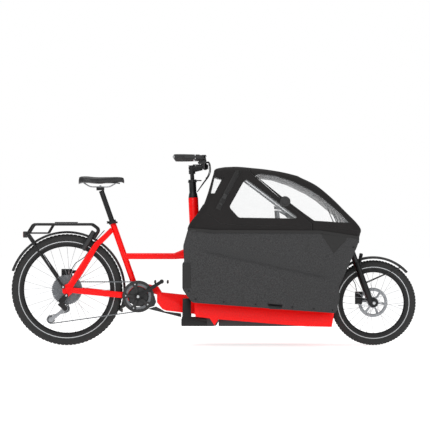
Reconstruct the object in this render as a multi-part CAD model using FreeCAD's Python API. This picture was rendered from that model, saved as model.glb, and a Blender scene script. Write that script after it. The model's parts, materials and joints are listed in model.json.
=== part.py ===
"""Front-loading electric cargo bicycle with a child box and a folding canopy, one STEP file per sub-part.

Millimetres. +X is the direction of travel, +Y is the rider's left and +Z is up.
The origin is on the ground at mid-length in the centre plane, with the stand folded.
"""
import FreeCAD
import Part
import math
import os
from FreeCAD import Vector

# ---- wheels -------------------------------------------------------------------------------------
REAR_AXLE = Vector(-894, 0, 339)
REAR_TYRE_RADIUS = 339.0
REAR_BEAD_RADIUS = 280.0
REAR_TYRE_HALF = 29.5
FRONT_AXLE = Vector(973, 0, 259.5)
FRONT_TYRE_RADIUS = 259.5
FRONT_BEAD_RADIUS = 203.0
FRONT_TYRE_HALF = 27.5
AXLE_RADIUS = 6.0
RUNNING_GAP = 0.06
PART_GAP = 0.3
ROTOR_RADIUS = 90.0
ROTOR_THICKNESS = 1.8
REAR_ROTOR_Y = 58.0
FRONT_ROTOR_Y = 39.0
REAR_FLANGE_Y = 28.0
FRONT_FLANGE_Y = 22.0
SPOKE_RADIUS = 1.1
SPOKE_CIRCLE = 30.6
RIM_DEPTH = 18.0

# ---- drive --------------------------------------------------------------------------------------
CRANK_AXIS = Vector(-459, 0, 298.6)
CRANK_LENGTH = 170.0
CRANK_ANGLE = 32.5
CHAIN_Y = -52.0
CHAIN_HALF_WIDTH = 2.7
CHAIN_HALF_HEIGHT = 4.1
TOOTH_PITCH = 12.7
CHAINRING_TEETH = 44
SPROCKET_TEETH = [46, 37, 32, 28, 24, 21, 19, 17, 15, 13, 11]
DRIVEN_SPROCKET = 4
SPROCKET_STEP = 3.9
PULLEY_TEETH = 12
ROOT_DEPTH = 4.4
CAGE_PIN_RADIUS = 5.0
PEDAL_PIN_RADIUS = 6.5
GUIDE_PULLEY = Vector(-901, 0, 226)
TENSION_PULLEY = Vector(-988, 0, 159)

# ---- frame and steering -------------------------------------------------------------------------
SEAT_CLAMP_POINT = Vector(-622, 0, 762)
SEAT_TUBE_RADIUS = 18.5
SEATPOST_RADIUS = 15.8
SHELL_RADIUS = 72.0
MOTOR_RADIUS = 60.0
SPINDLE_RADIUS = 12.0
COLUMN_FOOT = Vector(-125, 0, 900)
COLUMN_DIRECTION = Vector(-0.047, 0, 0.9989)
COLUMN_TUBE_RADIUS = 30.0
HEAD_POINT = Vector(925, 0, 260)
HEAD_DIRECTION = Vector(-0.3426, 0, 0.9395)
RAIL_INNER_Y = 140.0
RAIL_OUTER_Y = 180.0
STAND_PIVOT = Vector(-22, 0, 146)
SEAT_TUBE_TOP = 489.0
SEAT_LEVER_PIN = Vector(-645, -31, 749)
HEAD_TUBE_RADIUS = 24.0
STANCHION_RADIUS = 15.0
LEG_FORWARD = 29.6
LEG_Y = 62.0
FORK_TRAVEL = 50.0
BRIDGE_POINT = Vector(899, 0, 553)
BAR_RADIUS = 11.1
BAR_CLAMP = Vector(-52, 0, 1088)
HEIGHT_LEVER_PIN = Vector(-112, -28, 1000)
COLUMN_SLIDE_RADIUS = 12.5
LEVER_PIN_RADIUS = 4.0
SHIFT_PIN = Vector(-84, -168, 1092)
GRIP_START = Vector(-117, 237, 1142)
GRIP_DIRECTION = Vector(-0.887, 0.462, 0)
GRIP_LENGTH = 137.0

# ---- fittings -----------------------------------------------------------------------------------
REAR_GUARD_RADIUS = 343.5
REAR_GUARD_HEIGHT = 13.5
FRONT_GUARD_RADIUS = 268.0
FRONT_GUARD_HEIGHT = 15.0
RACK_RAIL_Z = 737.0
HEADLIGHT_Z = 641.0
HOSE_RADIUS = 2.5

# ---- box and canopy -----------------------------------------------------------------------------
BOX_HALF_WIDTH = 308.0
BOX_NOSE_HALF_WIDTH = 244.0
BOX_TAPER_X = 470.0
BOX_NOSE_X = 876.0
PANEL = 10.0
CANOPY_SKIN = 10.0
HOOD_HINGE = Vector(214, 0, 1084)
BOW_HUB = Vector(427, 0, 874)

SEAT_DIRECTION = (SEAT_CLAMP_POINT - CRANK_AXIS).normalize()
ACROSS = Vector(0, 1, 0)
UP = Vector(0, 0, 1)


# ---- shape helpers ------------------------------------------------------------------------------
def rod(start, end, radius, end_radius=None):
    """Round bar between two points, tapered when it has an end radius."""
    axis = end - start
    if end_radius is None:
        return Part.makeCylinder(radius, axis.Length, start, axis)
    return Part.makeCone(radius, end_radius, axis.Length, start, axis)


def sleeve(start, end, outer, inner):
    """Round tube between two points."""
    return rod(start, end, outer).cut(rod(start, end, inner))


def disc(centre, radius, y_low, y_high):
    """Round plate about an axis along Y."""
    return rod(Vector(centre.x, y_low, centre.z), Vector(centre.x, y_high, centre.z), radius)


def block(x_low, x_high, y_low, y_high, z_low, z_high):
    return Part.makeBox(x_high - x_low, y_high - y_low, z_high - z_low, Vector(x_low, y_low, z_low))


def slab(outline, y_low, y_high):
    """Plate with an outline of (x, z) corners, from y_low to y_high."""
    corners = [Vector(x, y_low, z) for x, z in outline]
    face = Part.Face(Part.makePolygon(corners + corners[:1]))
    return face.extrude(Vector(0, y_high - y_low, 0))


def turned(outline, centre):
    """Solid turned about the Y axis through centre. The outline is (radius, y) corners; a corner of four
    numbers is an arc through the first two to the last two."""
    edges = []
    here = Vector(centre.x + outline[0][0], outline[0][1], centre.z)
    for corner in outline[1:] + outline[:1]:
        there = Vector(centre.x + corner[-2], corner[-1], centre.z)
        if len(corner) == 4:
            middle = Vector(centre.x + corner[0], corner[1], centre.z)
            edges.append(Part.Arc(here, middle, there).toShape())
        else:
            edges.append(Part.makeLine(here, there))
        here = there
    return Part.Face(Part.Wire(edges)).revolve(centre, ACROSS, 360)


def bent_bar(points, radius, bend):
    """Round bar along straight runs joined by tangent arcs of one bend radius."""
    edges = []
    here = points[0]
    for before, corner, after in zip(points, points[1:], points[2:]):
        back = (before - corner).normalize()
        on = (after - corner).normalize()
        half_turn = (math.pi - back.getAngle(on)) / 2
        reach = bend * math.tan(half_turn)
        start = corner + back * reach
        end = corner + on * reach
        centre = corner + (back + on).normalize() * (bend / math.cos(half_turn))
        middle = centre + (corner - centre).normalize() * bend
        edges.append(Part.makeLine(here, start))
        edges.append(Part.Arc(start, middle, end).toShape())
        here = end
    edges.append(Part.makeLine(here, points[-1]))
    ring = Part.Wire(Part.makeCircle(radius, points[0], points[1] - points[0]))
    return Part.Wire(edges).makePipeShell([ring], True, True)


def rounded_section(centre, direction, width, depth, corner):
    """Rounded rectangle across a direction that lies near the XZ plane; width runs along Y."""
    direction = Vector(direction).normalize()
    side = (ACROSS - direction * ACROSS.dot(direction)).normalize()
    up = side.cross(direction)
    half_w = width / 2
    half_d = depth / 2
    bulge = corner * (1 - math.sqrt(0.5))
    edges = []
    here = None
    first = None
    for sx, sy in ((1, 1), (-1, 1), (-1, -1), (1, -1)):
        if sx == sy:
            start = (sx * half_w, sy * (half_d - corner))
            end = (sx * (half_w - corner), sy * half_d)
        else:
            start = (sx * (half_w - corner), sy * half_d)
            end = (sx * half_w, sy * (half_d - corner))
        middle = (sx * (half_w - bulge), sy * (half_d - bulge))
        start, middle, end = [centre + side * a + up * b for a, b in (start, middle, end)]
        if here is not None:
            edges.append(Part.makeLine(here, start))
        else:
            first = start
        edges.append(Part.Arc(start, middle, end).toShape())
        here = end
    edges.append(Part.makeLine(here, first))
    return Part.Wire(edges)


def limb(stations, corner=0.3):
    """Beam through stations of (centre, direction, width along Y, depth); corner is a share of the lesser."""
    wires = [rounded_section(c, d, w, h, corner * min(w, h)) for c, d, w, h in stations]
    return Part.makeLoft(wires, True, True)


def straight_limb(points, sizes, corner=0.3):
    """Beam through points with a (width, depth) at each, sections square to the run."""
    stations = []
    for i, (point, size) in enumerate(zip(points, sizes)):
        before = points[max(i - 1, 0)]
        after = points[min(i + 1, len(points) - 1)]
        stations.append((point, after - before, size[0], size[1]))
    return limb(stations, corner)


def mirrored(shape):
    return shape.mirror(Vector(0, 0, 0), ACROSS)


def both(shape):
    """A shape and its mirror image on the other side of the centre plane."""
    return [shape, mirrored(shape)]


def save(name, *shapes):
    """Writes one node, as one solid or a group of separate ones."""
    solids = [solid for shape in shapes for solid in shape.Solids]
    whole = solids[0] if len(solids) == 1 else Part.makeCompound(solids)
    whole.exportStep("parts/" + name + ".step")


def polar(centre, radius, degrees, y=0.0):
    angle = math.radians(degrees)
    return Vector(centre.x + radius * math.cos(angle), y, centre.z + radius * math.sin(angle))


def seat_point(distance):
    """Point on the seat tube's axis, at a distance up from the crank axis."""
    return CRANK_AXIS + SEAT_DIRECTION * distance


def column_point(distance):
    """Point on the steering column's axis, at a distance up from the frame tube's top."""
    return COLUMN_FOOT + COLUMN_DIRECTION * distance


def head_point(distance, forward=0.0, y=0.0):
    """Point at a distance up the steering axis, moved square to it towards the front."""
    square = Vector(HEAD_DIRECTION.z, 0, -HEAD_DIRECTION.x)
    return HEAD_POINT + HEAD_DIRECTION * distance + square * forward + ACROSS * y


def pitch_radius(teeth):
    return TOOTH_PITCH / (2 * math.sin(math.pi / teeth))


def sector(centre, inner, outer, y_low, y_high, start, end):
    """Part of a flat ring between two angles in degrees."""
    ring = disc(centre, outer, y_low, y_high).cut(disc(centre, inner, y_low - 1, y_high + 1))
    steps = 8
    reach = outer * 1.6
    fan = [(centre.x, centre.z)]
    for i in range(steps + 1):
        point = polar(centre, reach, start + (end - start) * i / steps)
        fan.append((point.x, point.z))
    return ring.common(slab(fan, y_low - 1, y_high + 1))


# ---- wheels -------------------------------------------------------------------------------------
def tyre(centre, outer, bead, half):
    """Hollow tyre of a sidewall arc and a crown arc, open at the bead."""
    wall = 3.5
    shoulder = outer - 9.0
    widest = (outer + bead) / 2 + 2
    crown_half = half - 6.0
    lip = half - 16.0
    outline = [
        (bead, lip),
        (widest, half, shoulder, crown_half),
        (outer, 0.0, shoulder, -crown_half),
        (widest, -half, bead, -lip),
        (bead, wall - lip),
        (widest, wall - half, shoulder - wall, wall - crown_half),
        (outer - wall, 0.0, shoulder - wall, crown_half - wall),
        (widest, half - wall, bead, lip - wall),
    ]
    return turned(outline, centre)


def rim(centre, bead):
    """Solid rim of a shallow section that narrows towards the hub."""
    outline = [
        (bead, -15.0), (bead, 15.0), (bead - 12, 15.0),
        (bead - RIM_DEPTH, 8.0), (bead - RIM_DEPTH, -8.0), (bead - 12, -15.0),
    ]
    return turned(outline, centre)


def spokes(centre, flange_y, bead, count, cross):
    """Crossed spokes from both flanges to the rim; cross is the angle a spoke leans by, in degrees."""
    made = []
    for i in range(count):
        side = 1 if i % 2 else -1
        lean = 1 if (i // 2) % 2 else -1
        angle = 360.0 * i / count
        start = polar(centre, SPOKE_CIRCLE, angle + lean * cross, side * flange_y)
        end = polar(centre, bead - RIM_DEPTH - 0.1, angle, side * 4.0)
        made.append(rod(start, end, SPOKE_RADIUS))
    return made


def hub(centre, flange_y, low, rotor_y, high):
    """Hub shell with two flanges and a seat for the rotor, bored for the axle."""
    bore = AXLE_RADIUS + RUNNING_GAP
    outline = [
        (bore, low), (15, low), (15, -flange_y - 1.5), (29, -flange_y - 1.5), (29, 1.5 - flange_y),
        (16, 4 - flange_y), (16, flange_y - 4), (29, flange_y - 1.5), (29, flange_y + 1.5),
        (17, flange_y + 3), (17, rotor_y), (12, rotor_y), (12, high), (bore, high),
    ]
    return turned(outline, centre)


def rotor(centre, y_low):
    """Brake rotor with a slotted carrier."""
    y_high = y_low + ROTOR_THICKNESS
    plate = disc(centre, ROTOR_RADIUS, y_low, y_high).cut(disc(centre, 12.0, y_low, y_high))
    windows = 6
    for i in range(windows):
        angle = 360.0 / windows * i
        plate = plate.cut(sector(centre, 34, 70, y_low - 1, y_high + 1, angle, angle + 46))
    return plate


def caliper(centre, low, high, rotor_y, mount):
    """Brake caliper with a slot for the rotor and an arm to its mount; low and high are (x, z) corners."""
    slot = disc(centre, ROTOR_RADIUS + 4, rotor_y - 1.2, rotor_y + ROTOR_THICKNESS + 1.2)
    body = block(low[0], high[0], rotor_y - 12, rotor_y + 14, low[1], high[1]).cut(slot)
    return body.fuse(mount)


def wheels():
    save("rear_tyre", tyre(REAR_AXLE, REAR_TYRE_RADIUS, REAR_BEAD_RADIUS, REAR_TYRE_HALF))
    save("rear_rim", rim(REAR_AXLE, REAR_BEAD_RADIUS))
    save("rear_spokes", *spokes(REAR_AXLE, REAR_FLANGE_Y, REAR_BEAD_RADIUS, 32, 44))
    save("rear_hub", hub(REAR_AXLE, REAR_FLANGE_Y, -32.5, REAR_ROTOR_Y, 78.5))
    save("rear_rotor", rotor(REAR_AXLE, REAR_ROTOR_Y))
    save("front_tyre", tyre(FRONT_AXLE, FRONT_TYRE_RADIUS, FRONT_BEAD_RADIUS, FRONT_TYRE_HALF))
    save("front_rim", rim(FRONT_AXLE, FRONT_BEAD_RADIUS))
    save("front_spokes", *spokes(FRONT_AXLE, FRONT_FLANGE_Y, FRONT_BEAD_RADIUS, 28, 40))
    save("front_hub", hub(FRONT_AXLE, FRONT_FLANGE_Y, -49.5, FRONT_ROTOR_Y, 49.5))
    save("front_rotor", rotor(FRONT_AXLE, FRONT_ROTOR_Y))


# ---- drive --------------------------------------------------------------------------------------
def cassette():
    """Freehub drum with eleven sprockets, turned to their root circles."""
    bore = AXLE_RADIUS + RUNNING_GAP
    largest_y = CHAIN_Y + DRIVEN_SPROCKET * SPROCKET_STEP
    body = disc(REAR_AXLE, 17.0, -78.3, -33.0)
    for i, teeth in enumerate(SPROCKET_TEETH):
        y = largest_y - i * SPROCKET_STEP
        body = body.fuse(disc(REAR_AXLE, pitch_radius(teeth) - ROOT_DEPTH, y - 0.8, y + 0.8))
    return body.cut(disc(REAR_AXLE, bore, -80, -30))


def chain_path():
    """Closed wire of the chain's pitch line: chainring, tension pulley, guide pulley, driven sprocket."""
    wheel_list = [
        (CRANK_AXIS, pitch_radius(CHAINRING_TEETH), 1),
        (TENSION_PULLEY, pitch_radius(PULLEY_TEETH), 1),
        (GUIDE_PULLEY, pitch_radius(PULLEY_TEETH), -1),
        (REAR_AXLE, pitch_radius(SPROCKET_TEETH[DRIVEN_SPROCKET]), 1),
    ]
    runs = []
    for i, (centre, radius, sense) in enumerate(wheel_list):
        next_centre, next_radius, next_sense = wheel_list[(i + 1) % len(wheel_list)]
        gap = next_centre - centre
        heading = math.atan2(gap.z, gap.x)
        heading += math.asin((next_sense * next_radius - sense * radius) / gap.Length)
        right = Vector(math.sin(heading), 0, -math.cos(heading))
        runs.append((centre - right * sense * radius, next_centre - right * next_sense * next_radius))
    edges = []
    for i, (start, end) in enumerate(runs):
        centre, radius, sense = wheel_list[(i + 1) % len(wheel_list)]
        leave = runs[(i + 1) % len(runs)][0]
        arrive_angle = math.atan2(end.z - centre.z, end.x - centre.x)
        leave_angle = math.atan2(leave.z - centre.z, leave.x - centre.x)
        sweep = (-sense * (leave_angle - arrive_angle)) % (2 * math.pi)
        middle = polar(centre, radius, math.degrees(arrive_angle - sense * sweep / 2))
        edges.append(Part.makeLine(start, end))
        edges.append(Part.Arc(end, middle, leave).toShape())
    wire = Part.Wire(edges)
    wire.translate(Vector(0, CHAIN_Y - CHAIN_HALF_WIDTH, 0))
    return wire


def chain():
    """Chain as one closed band of the links' height and width."""
    path = chain_path()
    outer = Part.Face(path.makeOffset2D(CHAIN_HALF_HEIGHT))
    inner = Part.Face(path.makeOffset2D(-CHAIN_HALF_HEIGHT))
    return outer.cut(inner).extrude(Vector(0, 2 * CHAIN_HALF_WIDTH, 0))


def chainring():
    """Chainring plate, five-arm spider and an outer guard ring."""
    root = pitch_radius(CHAINRING_TEETH) - ROOT_DEPTH
    plate = disc(CRANK_AXIS, root, CHAIN_Y - 1, CHAIN_Y + 1)
    plate = plate.cut(disc(CRANK_AXIS, 62, CHAIN_Y - 2, CHAIN_Y + 2))
    guard = disc(CRANK_AXIS, 97, -59.5, -57).cut(disc(CRANK_AXIS, 80, -60, -56))
    whole = plate.fuse(guard)
    whole = whole.fuse(disc(CRANK_AXIS, 26, -61, CHAIN_Y - 3))
    arms = 5
    for i in range(arms):
        angle = 360.0 / arms * i + 18
        foot = polar(CRANK_AXIS, 20, angle)
        tip = polar(CRANK_AXIS, 88, angle)
        arm = straight_limb([foot + ACROSS * -59, tip + ACROSS * -59], [(3.6, 26), (3.6, 14)], 0.1)
        whole = whole.fuse(arm).fuse(disc(polar(CRANK_AXIS, 72, angle), 6, -60, CHAIN_Y + 1))
    return whole.cut(disc(CRANK_AXIS, SPINDLE_RADIUS, -70, -40))


def crank_arm(side, angle):
    """Crank arm on one side with its pedal pin."""
    end = polar(CRANK_AXIS, CRANK_LENGTH, angle)
    y = side * 70
    arm = straight_limb([CRANK_AXIS + ACROSS * y, end + ACROSS * y], [(12, 27), (12, 20)], 0.25)
    low = min(side * 64, side * 76)
    arm = arm.fuse(disc(CRANK_AXIS, 17, low, low + 12)).fuse(disc(end, 13, low, low + 12))
    pin_low = min(side * 76, side * 178)
    return arm.fuse(disc(end, PEDAL_PIN_RADIUS, pin_low, pin_low + 102))


def pedal(side, angle):
    """Platform pedal with open bays, bored for its pin."""
    centre = polar(CRANK_AXIS, CRANK_LENGTH, angle)
    low = min(side * 82, side * 176)
    high = low + 94
    outline = [(-44, -5), (-36, -11), (36, -11), (44, -5), (44, 5), (36, 11), (-36, 11), (-44, 5)]
    body = slab([(centre.x + x, centre.z + z) for x, z in outline], low, high)
    for x in (-36, 14):
        for y in (low + 10, low + 53):
            body = body.cut(block(centre.x + x, centre.x + x + 22, y, y + 31, centre.z - 12, centre.z + 12))
    return body.cut(disc(centre, PEDAL_PIN_RADIUS + RUNNING_GAP, low - 1, high + 1))


def pulley(centre):
    """Chain pulley turned to its root circle, bored for the cage's bolt."""
    body = disc(centre, pitch_radius(PULLEY_TEETH) - ROOT_DEPTH, CHAIN_Y - 1.2, CHAIN_Y + 1.2)
    return body.cut(disc(centre, 4 + RUNNING_GAP, CHAIN_Y - 2, CHAIN_Y + 2))


def derailleur_cage():
    """Two plates joined by the pulley bolts; the outer plate carries the pivot bush."""
    plates = []
    for y in (CHAIN_Y - 7, CHAIN_Y + 5):
        middle = ACROSS * (y + 1)
        web = straight_limb([GUIDE_PULLEY + middle, TENSION_PULLEY + middle], [(2, 20), (2, 20)], 0.1)
        ends = disc(GUIDE_PULLEY, 17, y, y + 2).fuse(disc(TENSION_PULLEY, 17, y, y + 2))
        plates.append(web.fuse(ends))
    cage = plates[0].fuse(plates[1])
    for centre in (GUIDE_PULLEY, TENSION_PULLEY):
        cage = cage.fuse(disc(centre, 4, CHAIN_Y - 7, CHAIN_Y + 7))
    bush = disc(GUIDE_PULLEY, 12, CHAIN_Y - 18, CHAIN_Y - 7)
    bush = bush.cut(disc(GUIDE_PULLEY, CAGE_PIN_RADIUS + RUNNING_GAP, CHAIN_Y - 28, CHAIN_Y - 7))
    return cage.fuse(bush)


def derailleur_body():
    """Hanger bolt, parallelogram and the pin that the cage turns on."""
    hanger = Vector(-893, -98, 306)
    knuckle = Vector(-930, -96, 262)
    pivot = Vector(GUIDE_PULLEY.x, -84, GUIDE_PULLEY.z)
    body = straight_limb([hanger, knuckle], [(9, 24), (20, 38)], 0.2)
    body = body.fuse(straight_limb([knuckle, pivot], [(20, 38), (16, 26)], 0.2))
    body = body.fuse(disc(GUIDE_PULLEY, 14, -92, -71))
    body = body.fuse(disc(hanger, 11, -103, -91.2))
    return body.fuse(disc(GUIDE_PULLEY, CAGE_PIN_RADIUS, -72, CHAIN_Y - 7.5))


def drive():
    save("cassette", cassette())
    save("chain", chain())
    save("chainring", chainring())
    spindle = disc(CRANK_AXIS, SPINDLE_RADIUS, -76, 76)
    save("cranks", spindle.fuse(crank_arm(-1, CRANK_ANGLE)).fuse(crank_arm(1, CRANK_ANGLE + 180)))
    save("right_pedal", pedal(-1, CRANK_ANGLE))
    save("left_pedal", pedal(1, CRANK_ANGLE + 180))
    save("guide_pulley", pulley(GUIDE_PULLEY))
    save("tension_pulley", pulley(TENSION_PULLEY))
    save("derailleur_cage", derailleur_cage())
    save("derailleur_body", derailleur_body())
    nose = [(-459, 240), (-405, 226), (-362, 240), (-352, 262), (-362, 300), (-400, 318)]
    motor = disc(CRANK_AXIS, MOTOR_RADIUS, -42, 46).fuse(slab(nose, -40, 42))
    save("motor", motor.cut(disc(CRANK_AXIS, SPINDLE_RADIUS + RUNNING_GAP, -60, 60)))


# ---- frame and steering -------------------------------------------------------------------------
def rear_triangle():
    """Chain stays, seat stays and dropouts of both sides, with the through-axle."""
    shapes = []
    for side in (-1, 1):
        dropout = slab(
            [(-916, 322), (-880, 300), (-860, 318), (-850, 352), (-868, 384), (-900, 372), (-918, 350)],
            min(side * 79, side * 91), max(side * 79, side * 91),
        )
        if side < 0:
            hanger = slab([(-905, 330), (-880, 330), (-880, 300), (-893, 292), (-905, 300)], -91, -79)
            dropout = dropout.fuse(hanger)
        chain_stay = straight_limb(
            [Vector(-872, side * 85, 339), Vector(-790, side * 78, 331), Vector(-640, side * 52, 315),
             Vector(-531, side * 40.5, 305)],
            [(12, 30), (15, 36), (13, 36), (12, 36)],
        )
        seat_stay = straight_limb(
            [Vector(-873, side * 85, 360), Vector(-815, side * 72, 451), Vector(-712, side * 47, 614),
             Vector(-655, side * 30, 668), Vector(-621, side * 13, 704)],
            [(12, 38), (14, 40), (18, 34), (20, 32), (20, 30)],
        )
        arm = dropout.fuse(chain_stay).fuse(seat_stay)
        arm = arm.cut(rod(seat_point(300), seat_point(SEAT_TUBE_TOP), SEAT_TUBE_RADIUS))
        shapes.append(arm.cut(disc(REAR_AXLE, AXLE_RADIUS, -100, 100)))
    shapes.append(disc(REAR_AXLE, AXLE_RADIUS, -93, 93))
    return shapes


def down_beam():
    """Motor shell and the deep beam that runs forward under the top tube."""
    shell = sector(CRANK_AXIS, MOTOR_RADIUS, SHELL_RADIUS, -38, 38, 18, 205)
    beam = [
        (-428, 362), (-395, 371), (-350, 361), (-337, 356), (-326, 338), (-316, 322), (-163, 306),
        (-117, 303), (-117, 192), (-190, 200), (-288, 212), (-313, 222), (-345, 262), (-345, 310), (-401, 326),
    ]
    column = rod(column_point(-700), column_point(0), COLUMN_TUBE_RADIUS)
    return shell.fuse(slab(beam, -38, 38)).cut(column)


def cargo_chassis():
    """Two side rails joined by a rear and a front cross box and the riser to the head tube."""
    rail = [
        (-114, 272), (-60, 269), (700, 209), (726, 201), (712, 119), (557, 122), (29, 165), (5, 128),
        (-24, 171), (-110, 181),
    ]
    rails = both(slab(rail, RAIL_INNER_Y, RAIL_OUTER_Y))
    rear_cross = slab([(-116, 268), (-66, 268), (-66, 192), (-116, 192)], -RAIL_INNER_Y, RAIL_INNER_Y)
    front_cross = slab([(636, 190), (690, 186), (690, 126), (636, 126)], -RAIL_INNER_Y, RAIL_INNER_Y)
    neck = straight_limb(
        [Vector(662, 0, 186), Vector(648, 0, 330), Vector(682, 0, 427), Vector(772, 0, 600)],
        [(90, 44), (70, 44), (60, 44), (50, 44)],
    )
    neck = neck.cut(rod(head_point(340), head_point(450), HEAD_TUBE_RADIUS))
    neck = neck.cut(rod(head_point(290), head_point(361.5), 40))
    raised_wheel = FRONT_AXLE + HEAD_DIRECTION * FORK_TRAVEL
    neck = neck.cut(disc(raised_wheel, FRONT_GUARD_RADIUS + FRONT_GUARD_HEIGHT + 3, -40, 40))
    whole = rails[0].fuse(rails[1]).fuse(rear_cross).fuse(front_cross)
    return whole.fuse(neck)


def steering_tubes():
    """Steering-column tube on the rear cross box, and the head tube on the riser."""
    column = rod(column_point(-636), column_point(0), COLUMN_TUBE_RADIUS)
    column = column.cut(rod(column_point(-150), column_point(1), 20 + RUNNING_GAP))
    column = column.cut(block(-160, -40, -40, 40, 200, 268.3))
    head = sleeve(head_point(362), head_point(432), HEAD_TUBE_RADIUS, STANCHION_RADIUS + RUNNING_GAP)
    return [column, head]


def seat_clamp():
    """Collar with an ear, the skewer through it and the upright pin that the cam lever turns on."""
    collar = sleeve(seat_point(470), seat_point(SEAT_TUBE_TOP), 24, SEAT_TUBE_RADIUS)
    ear = block(-650, -628, -14, 14, 742, 756).cut(rod(seat_point(450), seat_point(500), SEAT_TUBE_RADIUS))
    skewer = rod(SEAT_LEVER_PIN, SEAT_LEVER_PIN + ACROSS * 50, 3)
    pin = rod(SEAT_LEVER_PIN - UP * 8, SEAT_LEVER_PIN + UP * 8, 3)
    return collar.fuse(ear).fuse(skewer).fuse(pin)


def seat_lever():
    """Cam lever, forked round the skewer's end."""
    x, y, z = SEAT_LEVER_PIN
    lever = block(x - 8, x + 60, y - 4, y + 3.5, z - 5.5, z + 5.5)
    lever = lever.cut(rod(SEAT_LEVER_PIN - UP * 9, SEAT_LEVER_PIN + UP * 9, 3 + RUNNING_GAP))
    return lever.cut(rod(SEAT_LEVER_PIN - UP * 3.5, SEAT_LEVER_PIN + UP * 3.5, 9.5))


def saddle():
    """Padded top and the two rails that are clamped to the seatpost."""
    along = Vector(1, 0, 0)
    top = limb([
        (Vector(-823, 0, 1012), along, 96, 30),
        (Vector(-800, 0, 1008), along, 148, 44),
        (Vector(-740, 0, 1004), along, 156, 46),
        (Vector(-670, 0, 1005), along, 96, 42),
        (Vector(-600, 0, 1009), along, 50, 34),
        (Vector(-545, 0, 1010), along, 32, 26),
    ], 0.45)
    line = [Vector(-786, 32, 986), Vector(-745, 24, 965.5), Vector(-640, 22, 965.5), Vector(-588, 10, 994)]
    for rail_seat in both(bent_bar(line, 3.6, 30)):
        top = top.cut(rail_seat)
    return [top] + both(bent_bar(line, 3.5, 30))


def seat_assembly():
    tube = rod(seat_point(SHELL_RADIUS + 0.4), seat_point(SEAT_TUBE_TOP), SEAT_TUBE_RADIUS)
    save("seat_tube", tube.cut(rod(seat_point(212), seat_point(490), SEATPOST_RADIUS + RUNNING_GAP)))
    save("seat_clamp", seat_clamp())
    save("seat_lever", seat_lever())
    post = rod(seat_point(330), seat_point(682), SEATPOST_RADIUS)
    save("seatpost", post.fuse(block(-714, -668, -28, 28, 944, 962)))
    save("saddle", *saddle())


def kickstand():
    """Two legs on a cross tube, folded back level, with step plates."""
    outline = [
        (22, 140), (14, 125), (-8, 122), (-193, 122), (-196, 128), (-196, 166), (-190, 168), (-187, 290),
        (-137, 290), (-137, 168), (0, 168), (18, 160),
    ]
    leg = slab(outline, 114, 134)
    tube = disc(STAND_PIVOT, 14, -114, 114).fuse(disc(Vector(-150, 0, 145), 12, -114, 114))
    whole = leg.fuse(tube).fuse(mirrored(leg))
    return whole.cut(disc(STAND_PIVOT, 8 + RUNNING_GAP, -140, 140))


def battery_box():
    """Battery housing between the rails, the belly cover, and the stand's brackets and shaft."""
    half_width = RAIL_INNER_Y - PART_GAP
    housing = slab([(30, 166), (30, 122), (600, 122), (600, 196), (60, 196)], -half_width, half_width)
    belly = slab([(-397, 222), (-352, 235), (-328, 222), (-300, 205), (-200, 193), (-198, 172)], -36, 36)
    beam = [(-345, 262), (-313, 222), (-288, 212), (-190, 200), (-100, 300), (-300, 330)]
    belly = belly.cut(slab(beam, -40, 40))
    bracket = slab([(-44, 186), (-40, 130), (16, 126), (29.5, 150), (29.5, 186)], 135.5, half_width)
    shaft = disc(STAND_PIVOT, 8, -135.5, 135.5)
    return [housing, belly, *both(bracket), shaft]


# ---- box and canopy -----------------------------------------------------------------------------
def plan(inset, z_low, z_high):
    """Block with the box's outline from above, moved in on every side."""
    half = BOX_HALF_WIDTH - inset
    nose = BOX_NOSE_HALF_WIDTH - inset
    front = BOX_NOSE_X + 20
    left = [(-200, half), (BOX_TAPER_X, half), (front, nose - 3)]
    points = [Vector(x, y, z_low) for x, y in left] + [Vector(x, -y, z_low) for x, y in reversed(left)]
    return Part.Face(Part.makePolygon(points + points[:1])).extrude(Vector(0, 0, z_high - z_low))


SIDE_PANEL = [
    (-157, 314), (-124, 274), (729, 210), (751, 300), (745, 361), (856, 604), (873, 655), (640, 690), (0, 693),
    (-150, 706), (-178, 609), (-176, 575), (-172, 512), (-183, 505), (-183, 353),
]
HAND_HOLE = [(319, 267), (415, 259), (404, 231), (332, 234)]
FRONT_WALL = [(604, 222), (614, 221), (624, 340), (722, 600), (722, 676), (712, 676), (712, 602), (614, 342)]
CANOPY_SIDE = [
    (-157, 712), (0, 699.5), (640, 696.5), (876, 661), (882, 683), (886, 709), (856, 752), (796, 812),
    (710, 897), (616, 974), (526, 1020), (496, 1034), (406, 1056), (308, 1071), (160, 1086), (93, 1086),
    (8, 1071), (-3, 1038), (-37, 921), (-65, 847), (-90, 812), (-141, 749),
]
CANOPY_INSIDE = [
    (-147, 690), (0, 680), (640, 675), (862, 640), (872, 684), (875, 706), (848, 745), (789, 804),
    (703, 889), (611, 965), (522, 1010), (493, 1024), (404, 1046), (307, 1061), (159, 1076), (94, 1076),
    (16, 1062), (7, 1036), (-27, 918), (-56, 842), (-80, 805), (-131, 742),
]
ARCH = [(306, 600), (306, 700), (268, 1000), (236, 1058), (176, 1090)]
ARCH_INSIDE = [(296, 600), (296, 699), (258, 997), (229, 1051), (173, 1080)]
FIXED_WINDOW = [(176, 993), (91, 841), (149, 776), (491, 771), (503, 785), (196, 1013)]
REAR_WINDOW = [(6, 1034), (57, 1019), (6, 922), (-20, 922)]
HOOD_WINDOW = [
    (250, 1029), (250, 1038), (282, 1043), (368, 1032), (466, 1000), (582, 944), (646, 902), (753, 812),
    (817, 747), (808, 745), (601, 758), (526, 812), (402, 906),
]
HOOD_EDGE = [(213, 1110), (222, 1050), (385, 905), (512, 806), (590, 742), (590, 600)]
WINDSHIELD_HALF = 190.0


def arch(outline):
    """Long block with the canopy's section across the bicycle."""
    corners = outline + [(-y, z) for y, z in reversed(outline)]
    points = [Vector(-220, y, z) for y, z in corners]
    return Part.Face(Part.makePolygon(points + points[:1])).extrude(Vector(1140, 0, 0))


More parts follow.
